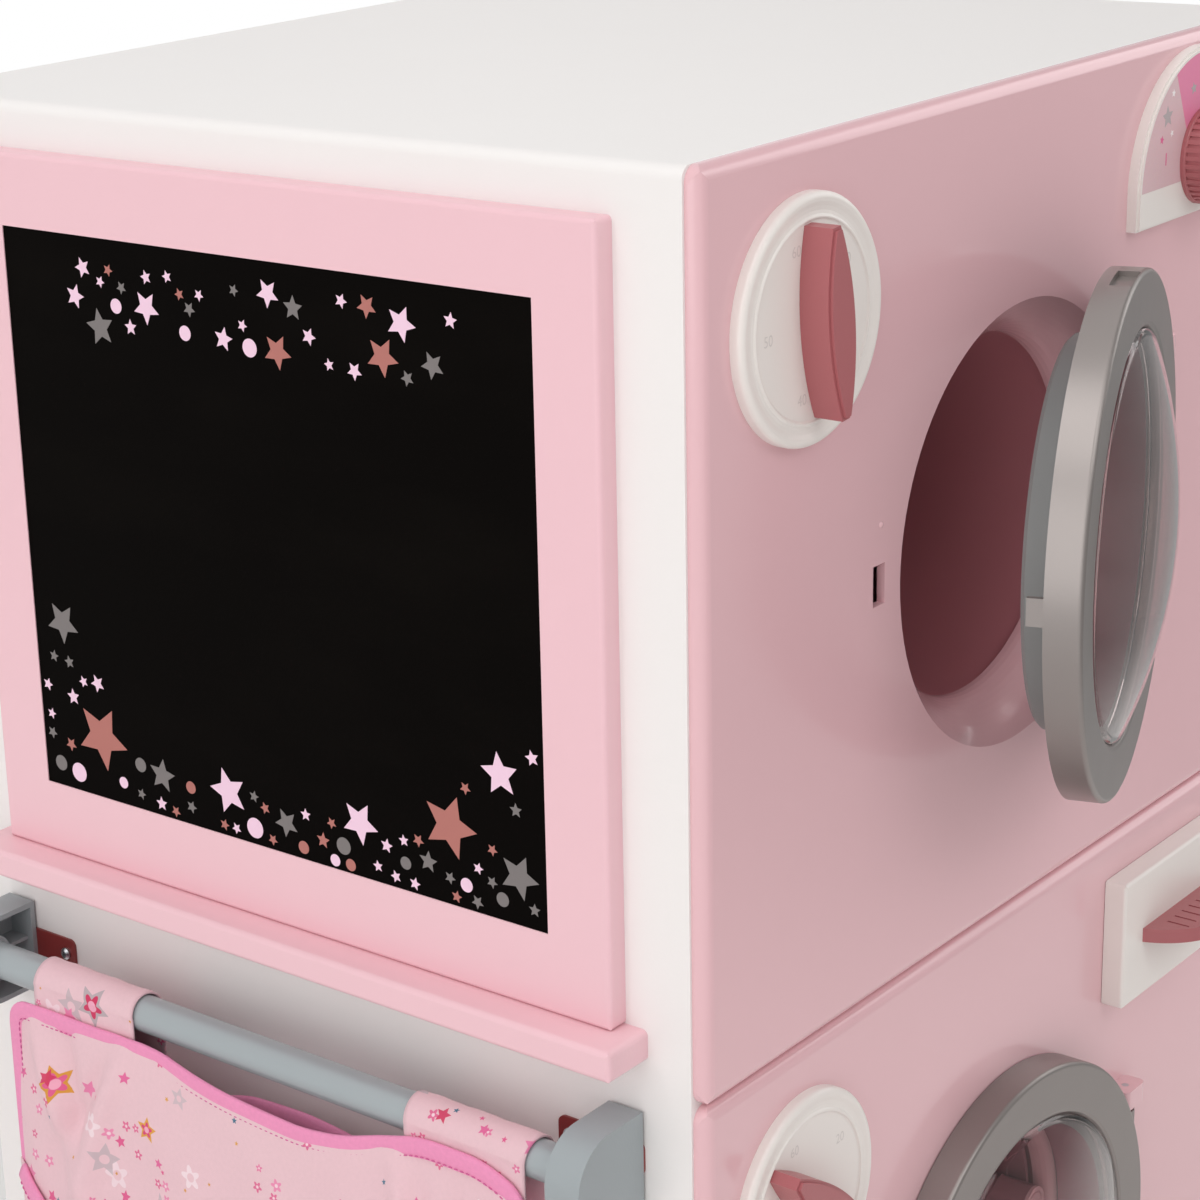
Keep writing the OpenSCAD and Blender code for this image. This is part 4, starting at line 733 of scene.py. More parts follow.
def numberShape(text, size, rise):
    # the plain built-in figures as a mesh, middle at the origin, in millimetres
    curve = bpy.data.curves.new("figures", "FONT")
    curve.body = text
    curve.size = size
    curve.align_x = "CENTER"
    curve.align_y = "CENTER"
    curve.extrude = rise
    curve.bevel_depth = rise * 0.25
    curve.resolution_u = 4
    holder = bpy.data.objects.new("figures", curve)
    bpy.context.scene.collection.objects.link(holder)
    bpy.context.view_layer.update()
    evaluated = holder.evaluated_get(bpy.context.evaluated_depsgraph_get())
    mesh = evaluated.to_mesh()
    mesh.calc_loop_triangles()
    points = np.zeros(len(mesh.vertices) * 3, np.float32)
    mesh.vertices.foreach_get("co", points)
    triangles = np.zeros(len(mesh.loop_triangles) * 3, np.int32)
    mesh.loop_triangles.foreach_get("vertices", triangles)
    evaluated.to_mesh_clear()
    bpy.data.objects.remove(holder)
    bpy.data.curves.remove(curve)
    return points.reshape(-1, 3), triangles.reshape(-1, 3)


def standOnFront(points, x, z, y):
    # lays a flat shape's own right, up and out along +X, +Z and -Y of the cabinet
    return np.stack([points[:, 0] + x, y - points[:, 2], points[:, 1] + z], 1)


def joinShapes(name, shapes, material, smooth=False):
    # several (points, faces) in millimetres as one piece
    points, faces, count = [], [], 0
    for shapePoints, shapeFaces in shapes:
        points.append(shapePoints)
        faces.append(shapeFaces + count)
        count += len(shapePoints)
    made = meshFromArrays(name, np.concatenate(points) * mm, np.concatenate(faces), smooth=smooth)
    made.data.materials.append(material)
    return made


# the figures lie almost flat; their grey, a little darker than the dial, is painted shade that
# stands in for the shading of a faint relief
figurePaintedShade = skinMaterial("figure_painted_shade", "DAD3CF", gloss=0.3, drift=0.01)
for which, (dialX, dialZ) in dialSettings["centres"].items():
    shapes = []
    for degrees, figures in dialSettings["marks"]:
        points, faces = numberShape(figures, dialSettings["size"], dialSettings["rise"])
        turn = math.radians(degrees)
        shapes.append((
            standOnFront(points, dialX + dialSettings["radius"] * math.cos(turn),
                         dialZ + dialSettings["radius"] * math.sin(turn), dialSettings["front"]),
            faces))
    piece = joinShapes(which + "_dial_figures", shapes, figurePaintedShade)
    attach(piece, "cabinet")
print("dial figures made")


# wells behind the two latch slots
wellSettings = {
    "x": (-141.8, -131.1),
    "lift": (-6.3, 14.3),   # the slot's lower and upper edge from the porthole's middle
    "ports": {"upper": 671.4, "lower": 223.5},
    "behind": -255.0,       # Y of the moulding's inner face
    "lipDeep": 1.4,
    "deep": 8.0,
    "wall": 1.2,
    "beyond": 6.0,          # how far the plate reaches past the slot
}


def boxShape(x, y, z):
    # a plain block: corner number 4 * right + 2 * back + top, two triangles a side
    corners = np.stack(np.meshgrid(x, y, z, indexing="ij"), -1).reshape(-1, 3)
    sides = np.array([[0, 1, 3, 2], [4, 6, 7, 5], [0, 4, 5, 1], [2, 3, 7, 6], [0, 2, 6, 4],
                      [1, 5, 7, 3]])
    return corners, np.concatenate([sides[:, [0, 1, 2]], sides[:, [0, 2, 3]]])


def makeWell(which, settings):
    # a lip that deepens the slot's edge, and a loose plate behind it; both are guessed
    s = settings
    (x0, x1), w, y0 = s["x"], s["wall"], s["behind"]
    z0, z1 = (s["ports"][which] + lift for lift in s["lift"])
    lip, end = y0 + s["lipDeep"], y0 + s["deep"]
    blocks = [boxShape((x0 - w, x0), (y0, lip), (z0 - w, z1 + w)),
              boxShape((x1, x1 + w), (y0, lip), (z0 - w, z1 + w)),
              boxShape((x0, x1), (y0, lip), (z0 - w, z0)),
              boxShape((x0, x1), (y0, lip), (z1, z1 + w))]
    more = s["beyond"]
    plate = [boxShape((x0 - more, x1 + more), (end, end + w), (z0 - more, z1 + more))]
    for name, shapes, finish in (("_latch_lip", blocks, "pink_moulding"),
                                 ("_latch_well", plate, "well_rose")):
        piece = joinShapes(which + name, shapes, materials[finish])
        pointOutwards(piece)
        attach(piece, "cabinet")


materials["well_rose"] = skinMaterial("well_rose", "B4636C", gloss=0.5)
for which in wellSettings["ports"]:
    makeWell(which, wellSettings)
print("latch wells made")


# print on the label
labelPrint = {
    "front": -265.0,
    "rise": 0.07,
    # figure, X, Z, height of the type, ink
    "figures": (("1", 135.1, 838.3, 9.5, "rose"), ("2", 177.5, 877.5, 9.5, "white"),
                ("3", 219.9, 838.3, 9.5, "white")),
    # X, Z, size, turn, ink of each star
    "stars": ((135.3, 861.0, 6.0, 0.4, "grey"), (129.5, 849.6, 2.4, 0.1, "rose"),
              (140.8, 851.6, 2.0, 0.7, "white"), (141.0, 872.6, 2.2, 0.2, "white"),
              (164.5, 872.0, 3.4, 0.5, "grey"), (190.5, 872.0, 3.4, 0.9, "grey"),
              (219.7, 861.0, 6.0, 0.8, "white"), (225.5, 849.6, 2.4, 0.3, "white")),
    "inks": {"rose": "E2699A", "white": "F7F0F1", "grey": "B7AEB0"},
}


def makeLabelFigures(settings):
    # thin figures and stars on the printed film, one piece for each ink
    shapes = {ink: [] for ink in settings["inks"]}
    for text, x, z, size, ink in settings["figures"]:
        points, faces = numberShape(text, size, settings["rise"])
        shapes[ink].append((standOnFront(points, x, z, settings["front"]), faces))
    for x, z, size, turn, ink in settings["stars"]:
        points, faces = starPrism(x, z, size, turn, settings["front"], settings["rise"])
        shapes[ink].append((points[:, [1, 0, 2]], faces[:, ::-1]))   # turned from -X to face -Y
    for ink, code in settings["inks"].items():
        piece = joinShapes("label_print_" + ink, shapes[ink],
                           skinMaterial("label_ink_" + ink, code, gloss=0.4, drift=0.02))
        pointOutwards(piece)
        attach(piece, "cabinet")


# bag
bagSettings = {
    "left": -188.0,      # Y of the front end
    "right": 174.0,      # Y of the rear end
    "bottom": 117.0,
    "top": 413.0,
    "frontX": -332.6,
    "backX": -306.5,
    "swell": 13.0,
    "corner": 13.0,
    "cloth": 0.9,
    "step": 3.0,
    "binding": 11.0,
    "bindingThick": 1.9,
    # Y, Z of the front panel's top edge
    "frontEdge": ((-188, 411), (-160, 421), (-122, 421), (-98, 414), (-72, 406), (-45, 402.5),
                  (-18, 403.5), (8, 405), (28, 407.5), (58, 413.5), (82, 414.5), (106, 413),
                  (150, 413), (174, 412)),
    # Y, Z, X of the back panel's top edge
    "backEdge": ((-188, 400, -318), (-160, 403, -307), (-122, 402, -307), (-95, 388, -314),
                 (-85, 391, -317), (-60, 396, -317), (-30, 397, -315), (10, 395, -315),
                 (40, 386, -317), (75, 394, -308), (110, 402, -306), (150, 402, -307),
                 (174, 400, -318)),
    # start Y, start Z, direction in degrees below +Y, length, width, height of each soft fold
    "folds": ((152, 398, -118, 190, 9, 3.2), (128, 402, -100, 150, 8, -2.4),
              (84, 404, -72, 210, 10, 3.0), (96, 396, -60, 120, 7, -1.8),
              (-108, 402, -112, 200, 10, 3.0), (-122, 398, -96, 170, 8, -2.2),
              (-176, 402, -70, 210, 10, 3.0), (-150, 400, -84, 150, 7, -1.8),
              (30, 330, -35, 160, 14, 3.0), (-20, 300, -150, 150, 13, 2.6),
              (60, 240, -20, 130, 15, -2.4), (-90, 250, -160, 120, 14, 2.4)),
    "foldScale": 2.3,
    "pocketTop": 314.5,
    "pocketSag": 60.0,
    "stitchStep": 3.6,
    "stitchRise": 1.08,      # times the tape's thickness
}


def swellAt(u):
    # how far the belly stands out at depth u, 0 at the mouth and 1 at the bottom:
    # swell * sin(pi * u^0.8) + 5 u
    u = np.clip(u, 0, 1)
    return bagSettings["swell"] * np.sin(np.pi * u**0.8) + 5 * u


def smoothLine(points, y, column=1):
    # a rounded line through the given points: straight runs blurred by a bump 9 mm wide
    table = np.array(sorted(points))
    fine = np.linspace(-200, 190, 1561)
    values = np.interp(fine, table[:, 0], table[:, column])
    kernel = bump(np.linspace(-24, 24, 193), 9.0)
    padded = np.pad(values, 96, mode="edge")
    blurred = np.convolve(padded, kernel / kernel.sum(), mode="valid")
    return np.interp(y, fine, blurred)


def cornerDrop(y):
    # rounds the two upper corners of a panel: a quarter circle in its outline
    s = bagSettings
    r = s["corner"]
    near = np.minimum(y - s["left"], s["right"] - y)
    inside = np.clip(r - near, 0, r)
    return r - np.sqrt(np.maximum(r * r - inside**2, 0))


def frontTop(y):
    # the front panel's top edge, its corners rounded
    return smoothLine(bagSettings["frontEdge"], y) - cornerDrop(y)


def foldRelief(y, z):
    # sum of long soft ridges; each fades along its line and falls off to its sides
    total = np.zeros(np.broadcast(y, z).shape)
    for startY, startZ, degrees, length, width, height in bagSettings["folds"]:
        turn = math.radians(degrees)
        ahead = (y - startY) * math.cos(turn) + (z - startZ) * math.sin(turn)
        aside = -(y - startY) * math.sin(turn) + (z - startZ) * math.cos(turn)
        share = ahead / length
        fade = smoothStep(share * 4 + 0.4) * smoothStep((1 - share) * 1.6)
        spread = width * (0.7 + 0.9 * np.clip(share, 0, 1))
        total += bagSettings["foldScale"] * height * fade * bump(aside, spread)
    return total


def frontX(y, z):
    # front panel: the mouth's plane, less the swell, which dies out at the bound edges
    s = bagSettings
    u = (s["top"] - z) / (s["top"] - s["bottom"])
    middle, half = (s["left"] + s["right"]) / 2, (s["right"] - s["left"]) / 2
    a = np.clip(np.abs(y - middle) / half, 0, 1)
    belly = swellAt(u) * (1 - a**5) * (1 - np.clip(u, 0, 1) ** 9)
    edge = 1 - smoothStep((a - 0.9) / 0.1) * 0.9
    waves = 1.2 * np.sin(y / 23 + 1.0) * np.sin(z / 41 + 0.5) + 0.7 * np.sin(y / 11 - z / 17)
    slack = foldRelief(y, z) + waves * smoothStep(u * 5)
    back = 10 * np.clip(u, 0, 1) ** 6
    return s["frontX"] - belly - slack * edge + back


def columnsAcross():
    # places across the bag, closer together near the two sides
    s = bagSettings
    count = int((s["right"] - s["left"]) / s["step"]) + 1
    b = np.linspace(-1, 1, count)
    a = np.sign(b) * (1 - (1 - np.abs(b)) ** 1.25)
    return (s["left"] + s["right"]) / 2 + a * (s["right"] - s["left"]) / 2


def clothPiece(name, points, uv, material, body, thick, flip=False):
    # a cloth grid in millimetres with its real thickness added by Solidify
    made = gridMesh(name, points * mm, uv * mm, flip=flip)
    made.data.materials.append(material)
    skin = made.modifiers.new("thickness", "SOLIDIFY")
    skin.thickness = thick * mm
    skin.offset = 0
    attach(made, body)
    return made


def clothUv(points):
    # lengths along the grid's two ways, measured on its middle lines
    rowSteps = np.linalg.norm(np.diff(points, axis=0), axis=-1).mean(1)
    columnSteps = np.linalg.norm(np.diff(points, axis=1), axis=-1).mean(0)
    down = np.concatenate([[0], np.cumsum(rowSteps)])
    across = np.concatenate([[0], np.cumsum(columnSteps)])
    return np.stack(np.meshgrid(across, -down), -1)


def makePrintedCloth(name, settings):
    # woven cotton with a small generic print: flowers, stars and dots in scattered cells
    material, tree, shader, place = startMaterial(name)
    weave = useGroup(tree, threadWeave, {"Place": (place, "UV"), "Threads": settings["threads"]})
    shade = calculate(tree, "MULTIPLY_ADD", (weave, "Shade"), 0.08, 0.96)
    ground = addNode(tree, "VectorMath", {0: srgb(settings["ground"])[:3], 3: shade},
                     operation="SCALE")
    colour = (ground, 0)
    for layer in settings["layers"]:
        motif = useGroup(tree, motifField, {
            "Place": (place, "UV"), "Cells": layer["cells"], "Size": layer["size"],
            "Share": layer["share"], "Petals": layer["petals"], "Eye": layer["eye"],
            "Shift": layer["shift"], "Bunches": layer.get("bunches", 20.0),
            "Bunch reach": layer.get("reach", 9.0)})
        inks = addNode(tree, "ValToRGB", {0: (motif, "Chance")})
        inks.color_ramp.interpolation = "CONSTANT"
        for k, code in enumerate(layer["inks"]):
            spot = k / len(layer["inks"])
            element = inks.color_ramp.elements[k] if k < 2 else inks.color_ramp.elements.new(spot)
            element.position = spot
            element.color = srgb(code)
        strength = calculate(tree, "MULTIPLY", (motif, "Mask"), layer["strength"])
        printed = addNode(tree, "Mix", {0: strength, 6: colour, 7: (inks, 0)}, data_type="RGBA")
        eyed = addNode(tree, "Mix", {0: (motif, "Eye mask"), 6: (printed, 2),
                                     7: srgb(layer["eyeInk"])}, data_type="RGBA")
        colour = (eyed, 2)
    tree.links.new(colour[0].outputs[colour[1]], shader.inputs["Base Color"])
    reliefOn(tree, shader, 0.25, 0.0003, (weave, "Height"))
    shader.inputs["Roughness"].default_value = 0.78
    shader.inputs["Sheen Weight"].default_value = 0.15
    shader.inputs["Specular IOR Level"].default_value = 0.25
    return material


def makeBindingCloth(settings):
    # plain bright tape with a close weave
    material, tree, shader, place = startMaterial("binding_tape")
    weave = useGroup(tree, threadWeave, {"Place": (place, "UV"), "Threads": settings["threads"]})
    shade = calculate(tree, "MULTIPLY_ADD", (weave, "Shade"), 0.14, 0.93)
    ground = addNode(tree, "VectorMath", {0: srgb(settings["colour"])[:3], 3: shade},
                     operation="SCALE")
    tree.links.new(ground.outputs[0], shader.inputs["Base Color"])
    reliefOn(tree, shader, 0.3, 0.0004, (weave, "Height"))
    shader.inputs["Roughness"].default_value = 0.75
    shader.inputs["Sheen Weight"].default_value = 0.1
    shader.inputs["Specular IOR Level"].default_value = 0.25
    return material


printSettings = {
    "ground": "E9C3CA",
    "threads": 1500.0,
    "layers": (
        # pale rounded stars and thin grey ones, printed faintly below the rest
        {"cells": 15.0, "size": 0.14, "share": 0.6, "petals": 1.0, "eye": 0.36, "shift": 2.2,
         "inks": ("F6E2E7", "F3DDE3"), "eyeInk": "E9C3CA", "strength": 0.75},
        {"cells": 19.0, "size": 0.20, "share": 0.42, "petals": 0.0, "eye": 0.30, "shift": 4.4,
         "inks": ("C9B6BC", "BFAEB4"), "eyeInk": "E7C2C9", "strength": 0.75},
        # leaves, and the rose that lies on each of them
        {"cells": 13.0, "size": 0.16, "share": 0.5, "petals": 0.0, "eye": 0.0, "shift": 0.31,
         "inks": ("DFA032", "D9962B", "B9A9AE"), "eyeInk": "DFA032", "strength": 0.95},
        {"cells": 13.0, "size": 0.10, "share": 0.5, "petals": 1.0, "eye": 0.42, "shift": 0.31,
         "inks": ("DB4676", "E0608F", "CF3660"), "eyeInk": "F0A9BF", "strength": 1.0},
        # bunches of small flowers
        {"cells": 84.0, "size": 0.33, "share": 0.8, "petals": 1.0, "eye": 0.3, "shift": 3.3,
         "inks": ("E5729F", "E0608F", "EA86AE"), "eyeInk": "F5D3DC", "strength": 0.9,
         "bunches": 21.0, "reach": 0.26},
        # single stars and the smallest dots
        {"cells": 34.0, "size": 0.19, "share": 0.42, "petals": 0.0, "eye": 0.0, "shift": 1.7,
         "inks": ("E2659A", "E0568C", "D23A62", "E77FAA"), "eyeInk": "E3A63A", "strength": 0.95},
        {"cells": 58.0, "size": 0.12, "share": 0.24, "petals": 0.0, "eye": 0.0, "shift": 5.1,
         "inks": ("D9962B", "DFA032", "E0568C", "2F6C86"), "eyeInk": "E3A63A", "strength": 0.95},
    ),
}
bagCloth = makePrintedCloth("printed_cotton", printSettings)
bindingCloth = makeBindingCloth({"colour": "F197BF", "threads": 1900.0})
threadPink = skinMaterial("stitch_thread", "D2649A", gloss=0.6, drift=0.05)


def makeFrontPanel():
    # grid: across the bag by depth, from the shaped top edge straight down to the bottom
    y = columnsAcross()
    share = np.linspace(0, 1, int(300 / bagSettings["step"]) + 1)
    top = frontTop(y)
    z = top[None, :] + (bagSettings["bottom"] - top)[None, :] * share[:, None]
    yy = np.broadcast_to(y, z.shape)
    return np.stack([frontX(yy, z), yy, z], -1)


def makeBackPanel():
    # the same outline set in by 5 mm; it leaves the front panel at the side seams and runs
    # round to the back by depth * sqrt(1 - a^8), and closes to the bottom seam the same way
    s = bagSettings
    b = np.linspace(-1, 1, 141)
    a = np.sign(b) * (1 - (1 - np.abs(b)) ** 2.2)
    middle, half = (s["left"] + s["right"]) / 2, (s["right"] - s["left"]) / 2 - 5
    y = middle + a * half
    t = np.linspace(0, 1, 111)
    share = 1 - (1 - t) ** 1.5
    top = smoothLine(s["backEdge"], y, 1) - 0.6 * cornerDrop(y)
    topX = smoothLine(s["backEdge"], y, 2)
    z = top[None, :] + (s["bottom"] + 3 - top)[None, :] * share[:, None]
    yy = np.broadcast_to(y, z.shape)
    u = np.clip((s["top"] - z) / (s["top"] - s["bottom"]), 0, 1)
    seam = frontX(np.broadcast_to(middle + np.sign(a) * half, z.shape), z)
    plane = s["backX"] + 0.45 * swellAt(u)
    mouth = np.broadcast_to(topX, z.shape)
    blendDown = smoothStep((top[None, :] - z) / 90)
    wanted = mouth * (1 - blendDown) + plane * blendDown
    sides = np.sqrt(np.maximum(1 - np.abs(a) ** 8, 0))[None, :]
    floor = np.sqrt(np.maximum(1 - u**14, 0))
    ripples = 1.0 * np.sin(yy / 19 + 2) * np.sin(z / 33)
    x = seam + 1.2 + (wanted - seam - 1.2 + ripples * smoothStep(u * 4)) * sides * floor
    return np.stack([x, yy, z], -1)


def makePocketPanel():
    # follows the front panel 1.6 mm in front of it and gapes towards its sagging top edge
    s = bagSettings
    y = columnsAcross()
    middle, half = (s["left"] + s["right"]) / 2, (s["right"] - s["left"]) / 2
    a = np.abs(y - middle) / half
    top = s["pocketTop"] - s["pocketSag"] * (1 - a**1.7) ** 1.1
    share = np.linspace(0, 1, 71)
    z = top[None, :] + (s["bottom"] + 1 - top)[None, :] * share[:, None]
    yy = np.broadcast_to(y, z.shape)
    gape = 7.0 * (1 - a[None, :] ** 2) ** 1.2 * (1 - share[:, None]) ** 1.6
    x = frontX(yy, z) - 1.7 - gape
    return np.stack([x, yy, z], -1)


def edgeTape(name, edge, inwardHint, outwardHint, closed):
    # tape folded over an edge: the path is moved inwards by half the tape's width
    s = bagSettings
    travel = along(edge, closed)
    outward = unit(outwardHint - (outwardHint * travel).sum(1, keepdims=True) * travel)
    inward = np.cross(travel, outward)
    side = np.sign((inward * inwardHint).sum(1, keepdims=True))
    inward = inward * side
    path = edge + inward * (s["binding"] / 2 - 0.8)
    made = sweepBand(name, path, inward, outward, s["binding"] / 2, s["bindingThick"], closed)
    made.data.materials.append(bindingCloth)
    stitchPath = edge + inward * (s["binding"] - 2.6)
    return made, stitchPath, outward


def openTape(name, edge):
    # tape on a top edge: inwards is down, and outwards is away from the cabinet
    return edgeTape(name, edge, np.tile([0.0, 0.0, -1.0], (len(edge), 1)),
                    np.tile([-1.0, 0.0, 0.0], (len(edge), 1)), False)


def stitchRow(path, outward):
    # short threads along a path: each a spindle whose radius is 0.42 * sqrt(1 - q^2) + 0.02
    step = bagSettings["stitchStep"]
    rise = bagSettings["bindingThick"] * bagSettings["stitchRise"]
    s = lengths(path)
    starts = np.arange(step, s[-1] - step, step)
    centre = np.stack([np.interp(starts, s, path[:, k]) for k in range(3)], 1)
    travel = unit(np.stack([np.interp(starts + 0.5, s, path[:, k]) for k in range(3)], 1) - centre)
    out = unit(np.stack([np.interp(starts, s, outward[:, k]) for k in range(3)], 1))
    side = np.cross(travel, out)
    rings, sides = 7, 6
    q = np.linspace(-1, 1, rings)
    t = np.linspace(0, 2 * np.pi, sides, endpoint=False)
    radius = 0.42 * np.sqrt(np.maximum(1 - q**2, 0)) + 0.02
    halfLong = step * 0.36
    points = (
        (centre + out * rise)[:, None, None, :]
        + travel[:, None, None, :] * (q * halfLong)[None, :, None, None]
        + side[:, None, None, :] * (radius[:, None] * np.cos(t))[None, :, :, None]
        + out[:, None, None, :] * (radius[:, None] * np.sin(t))[None, :, :, None]
    )
    count = len(starts)
    base = gridFaces(rings, sides, False, True)
    faces = (base[None] + (np.arange(count) * rings * sides)[:, None, None]).reshape(-1, 4)
    return points.reshape(-1, 3), faces


frontPoints = makeFrontPanel()
backPoints = makeBackPanel()
pocketPoints = makePocketPanel()
bagFront = clothPiece("bag_front_panel", frontPoints, clothUv(frontPoints), bagCloth, "cabinet",
                      bagSettings["cloth"])
bagBack = clothPiece("bag_back_panel", backPoints, clothUv(backPoints) + (0.0, 700.0), bagCloth,
                     "cabinet", bagSettings["cloth"], flip=True)
pocket = clothPiece("bag_pocket_panel", pocketPoints, clothUv(pocketPoints) + (520.0, 90.0),
                    bagCloth, "cabinet", bagSettings["cloth"])
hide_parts("bag_body")
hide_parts("bag_pocket")
print("bag panels made")

stitches = []


def frontOutline():
    # once round the front panel: along the top, down one side, along the bottom, up the other
    top = frontPoints[0]
    right = frontPoints[1:, -1]
    bottom = frontPoints[-1, ::-1][1:]
    left = frontPoints[::-1, 0][1:-1]
    return np.concatenate([top, right, bottom, left])


outline = frontOutline()
outline = resample(np.concatenate([outline, outline[:1]]), 3.0)[:-1]
middlePoint = frontPoints.reshape(-1, 3).mean(0)
outNormal = np.tile([-1.0, 0.0, 0.0], (len(outline), 1))
rim, rimStitch, rimOut = edgeTape("bag_rim_tape", outline, middlePoint - outline, outNormal, True)
stitches.append(stitchRow(rimStitch, rimOut))

backEdge = resample(backPoints[0], 3.0)
backTape, backStitch, backOut = openTape("bag_back_tape", backEdge)
stitches.append(stitchRow(backStitch, backOut))

pocketEdge = resample(pocketPoints[0], 3.0)[2:-2]   # its ends lie under the rim's tape
pocketTape, pocketStitch, pocketOut = openTape("bag_pocket_tape", pocketEdge)
stitches.append(stitchRow(pocketStitch, pocketOut))
bagThread = joinShapes("bag_stitching", stitches, threadPink, smooth=True)
for piece in (rim, backTape, pocketTape, bagThread):
    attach(piece, "cabinet")
print("bag tapes and stitching made")

loopSettings = {
    "rail": (-319.0, 424.5),
    "radius": 11.1,
    "thick": 1.2,
    "down": 388.0,
    "spans": {"rear": (79.0, 155.0), "front": (-185.5, -109.5)},
}


def makeLoop(span, settings, seed):
    # a strap over the rail: up the front leg, half a turn at the rail's radius, down the back
    railX, railZ = settings["rail"]
    r = settings["radius"]
    legs = 14
    turn = np.linspace(np.pi, 0, 40)
    zUp = np.linspace(settings["down"], railZ, legs, endpoint=False)
    zDown = np.linspace(railZ, settings["down"], legs + 1)[1:]
    x = np.concatenate([np.full(legs, railX - r), railX + r * np.cos(turn),
                        np.full(legs, railX + r)])
    z = np.concatenate([zUp, railZ + r * np.sin(turn), zDown])
    y = np.linspace(span[0], span[1], 27)
    rows = np.arange(len(x))[:, None]
    columns = (y[None, :] - span[0]) / (span[1] - span[0])
    lift = (0.35 * np.sin(columns * 9 + seed) ** 2
            + 0.2 * np.sin(columns * 21 + rows * 0.13 + seed) ** 2)
    lean = 1.2 * np.sin(rows / 9 + seed) * (columns - 0.5)
    away = np.stack([x - railX, z - railZ], -1)
    onBack = rows >= len(x) - legs
    outwards = np.where(rows < legs, [[-1.0, 0.0]], np.where(onBack, [[1.0, 0.0]], unit(away)))
    over = ((rows > legs) & (rows < len(x) - legs)).astype(float)
    px = x[:, None] + outwards[:, None, 0] * lift * over
    pz = z[:, None] + outwards[:, None, 1] * lift * over
    return np.stack([px, np.broadcast_to(y[None, :], px.shape) + lean, pz], -1)


for number, (which, span) in enumerate(loopSettings["spans"].items()):
    points = makeLoop(span, loopSettings, 1.3 + number * 2.1)
    clothPiece("bag_" + which + "_loop", points,
                              clothUv(points) + (140.0 + 230.0 * number, 1300.0), bagCloth,
                              "cabinet", loopSettings["thick"])
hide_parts("bag_loops")
print("bag loops made")


# print on the chalkboard
boardSettings = {
    "front": -296.35,
    "y": (-177.0, 167.0),
    "z": (531.0, 838.0),
    "rise": 0.12,
    "inks": {"rose": "B5746C", "blush": "F3CFE3", "grey": "7D7776"},
    "seed": 11,
    "count": 92,
    "topShare": 0.2,
    # Y, Z, size, ink of the large stars
    "large": ((122, 566, 19.0, "rose"), (-118, 572, 17.0, "rose"), (30, 556, 13.0, "blush"),
              (-150, 606, 11.5, "blush"), (146, 626, 12.0, "grey"), (-60, 560, 12.0, "blush"),
              (78, 554, 9.5, "grey"), (-88, 800, 10.0, "rose"), (66, 806, 9.0, "blush"),
              (100, 792, 10.0, "grey"), (-10, 548, 8.0, "grey"), (-160, 556, 12.0, "grey")),
}


def starPrism(y, z, size, turn, front, rise, notch=0.47):
    # a flat five-point star with a little thickness, facing -X; tips at 72 degree steps
    k = np.arange(10)
    radius = np.where(k % 2 == 0, size, size * notch)
    angle = turn + k * np.pi / 5
    outline2d = np.stack([y + radius * np.cos(angle), z + radius * np.sin(angle)], 1)
    return prism(outline2d, (y, z), front, rise)


def discPrism(y, z, size, front, rise):
    # a round dot of 28 sides with a little thickness, facing -X
    angle = np.linspace(0, 2 * np.pi, 28, endpoint=False)
    outline2d = np.stack([y + size * np.cos(angle), z + size * np.sin(angle)], 1)
    return prism(outline2d, (y, z), front, rise)


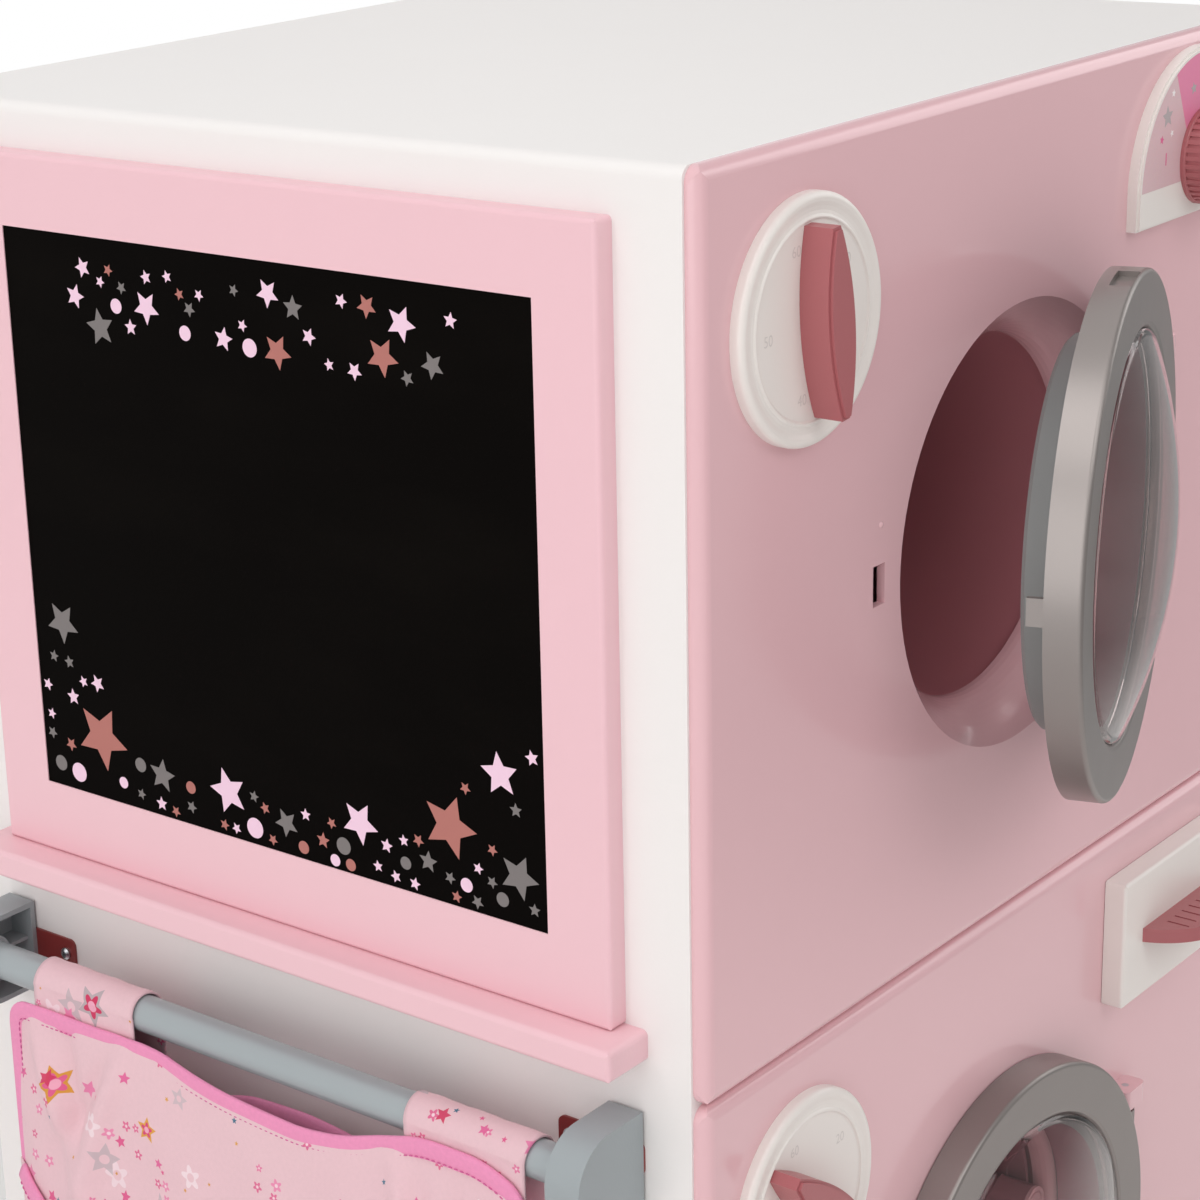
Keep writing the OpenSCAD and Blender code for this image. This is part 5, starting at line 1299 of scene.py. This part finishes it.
def prism(outline2d, centre, front, rise):
    # outline in Y, Z made a closed plate: rise in front of the face, and sunk a little into it
    n, sunk = len(outline2d), 0.3
    near = np.column_stack([np.full(n, front - rise), outline2d])
    far = np.column_stack([np.full(n, front + sunk), outline2d])
    points = np.concatenate([near, far, [[front - rise, *centre], [front + sunk, *centre]]])
    i = np.arange(n)
    j = (i + 1) % n
    faces = np.concatenate([
        np.stack([np.full(n, 2 * n), j, i], 1),
        np.stack([np.full(n, 2 * n + 1), i + n, j + n], 1),
        np.stack([i, j, j + n], 1),
        np.stack([i, j + n, i + n], 1),
    ])
    return points, faces


def scatterPrint(settings):
    # stars and dots thrown on the board: dense low down and in the corners, none overlapping
    chance = np.random.default_rng(settings["seed"])
    y0, y1 = settings["y"]
    z0, z1 = settings["z"]
    placed, found = [], {name: [] for name in settings["inks"]}
    names = list(settings["inks"])

    def put(y, z, size, ink, kind):
        if any((y - a) ** 2 + (z - b) ** 2 < ((size + c) * 0.98 + 2.0) ** 2 for a, b, c in placed):
            return False
        if not (y0 + size + 1 < y < y1 - size - 1 and z0 + size + 1 < z < z1 - size - 1):
            return False
        placed.append((y, z, size))
        turn = chance.uniform(0, 2 * np.pi)
        if kind == "star":
            shape = starPrism(y, z, size, turn, settings["front"], settings["rise"])
        else:
            shape = discPrism(y, z, size, settings["front"], settings["rise"])
        found[ink].append(shape)
        return True

    for y, z, size, ink in settings["large"]:
        put(y, z, size, ink, "star")
    for _ in range(1500):
        if len(placed) >= settings["count"]:
            break
        side = chance.uniform()
        y = chance.uniform(y0, y1)
        edge = min(y - y0, y1 - y) / (y1 - y0)
        reach = 24 + 90 * max(0.0, 1 - edge * 4.2)
        if side < settings["topShare"]:
            z = z1 - 14 - chance.uniform(0, 34)
            if abs(y - (y0 + y1) / 2) > 125:
                continue
        else:
            z = z0 + chance.uniform(0, 1) ** 1.3 * reach + 3
        small = chance.uniform()
        size = 3.2 + 7.5 * small**2.6
        ink = names[int(chance.integers(0, 3))]
        put(y, z, size, ink, "star" if chance.uniform() > 0.16 else "dot")
    return found


makeLabelFigures(labelPrint)
print("label print made")

printed = scatterPrint(boardSettings)
for ink, shapes in printed.items():
    inkMaterial = skinMaterial("print_" + ink, boardSettings["inks"][ink], gloss=0.5, drift=0.05,
                               specular=0.2)
    piece = joinShapes("board_print_" + ink, shapes, inkMaterial)
    pointOutwards(piece)
    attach(piece, "cabinet")
print("board print made")
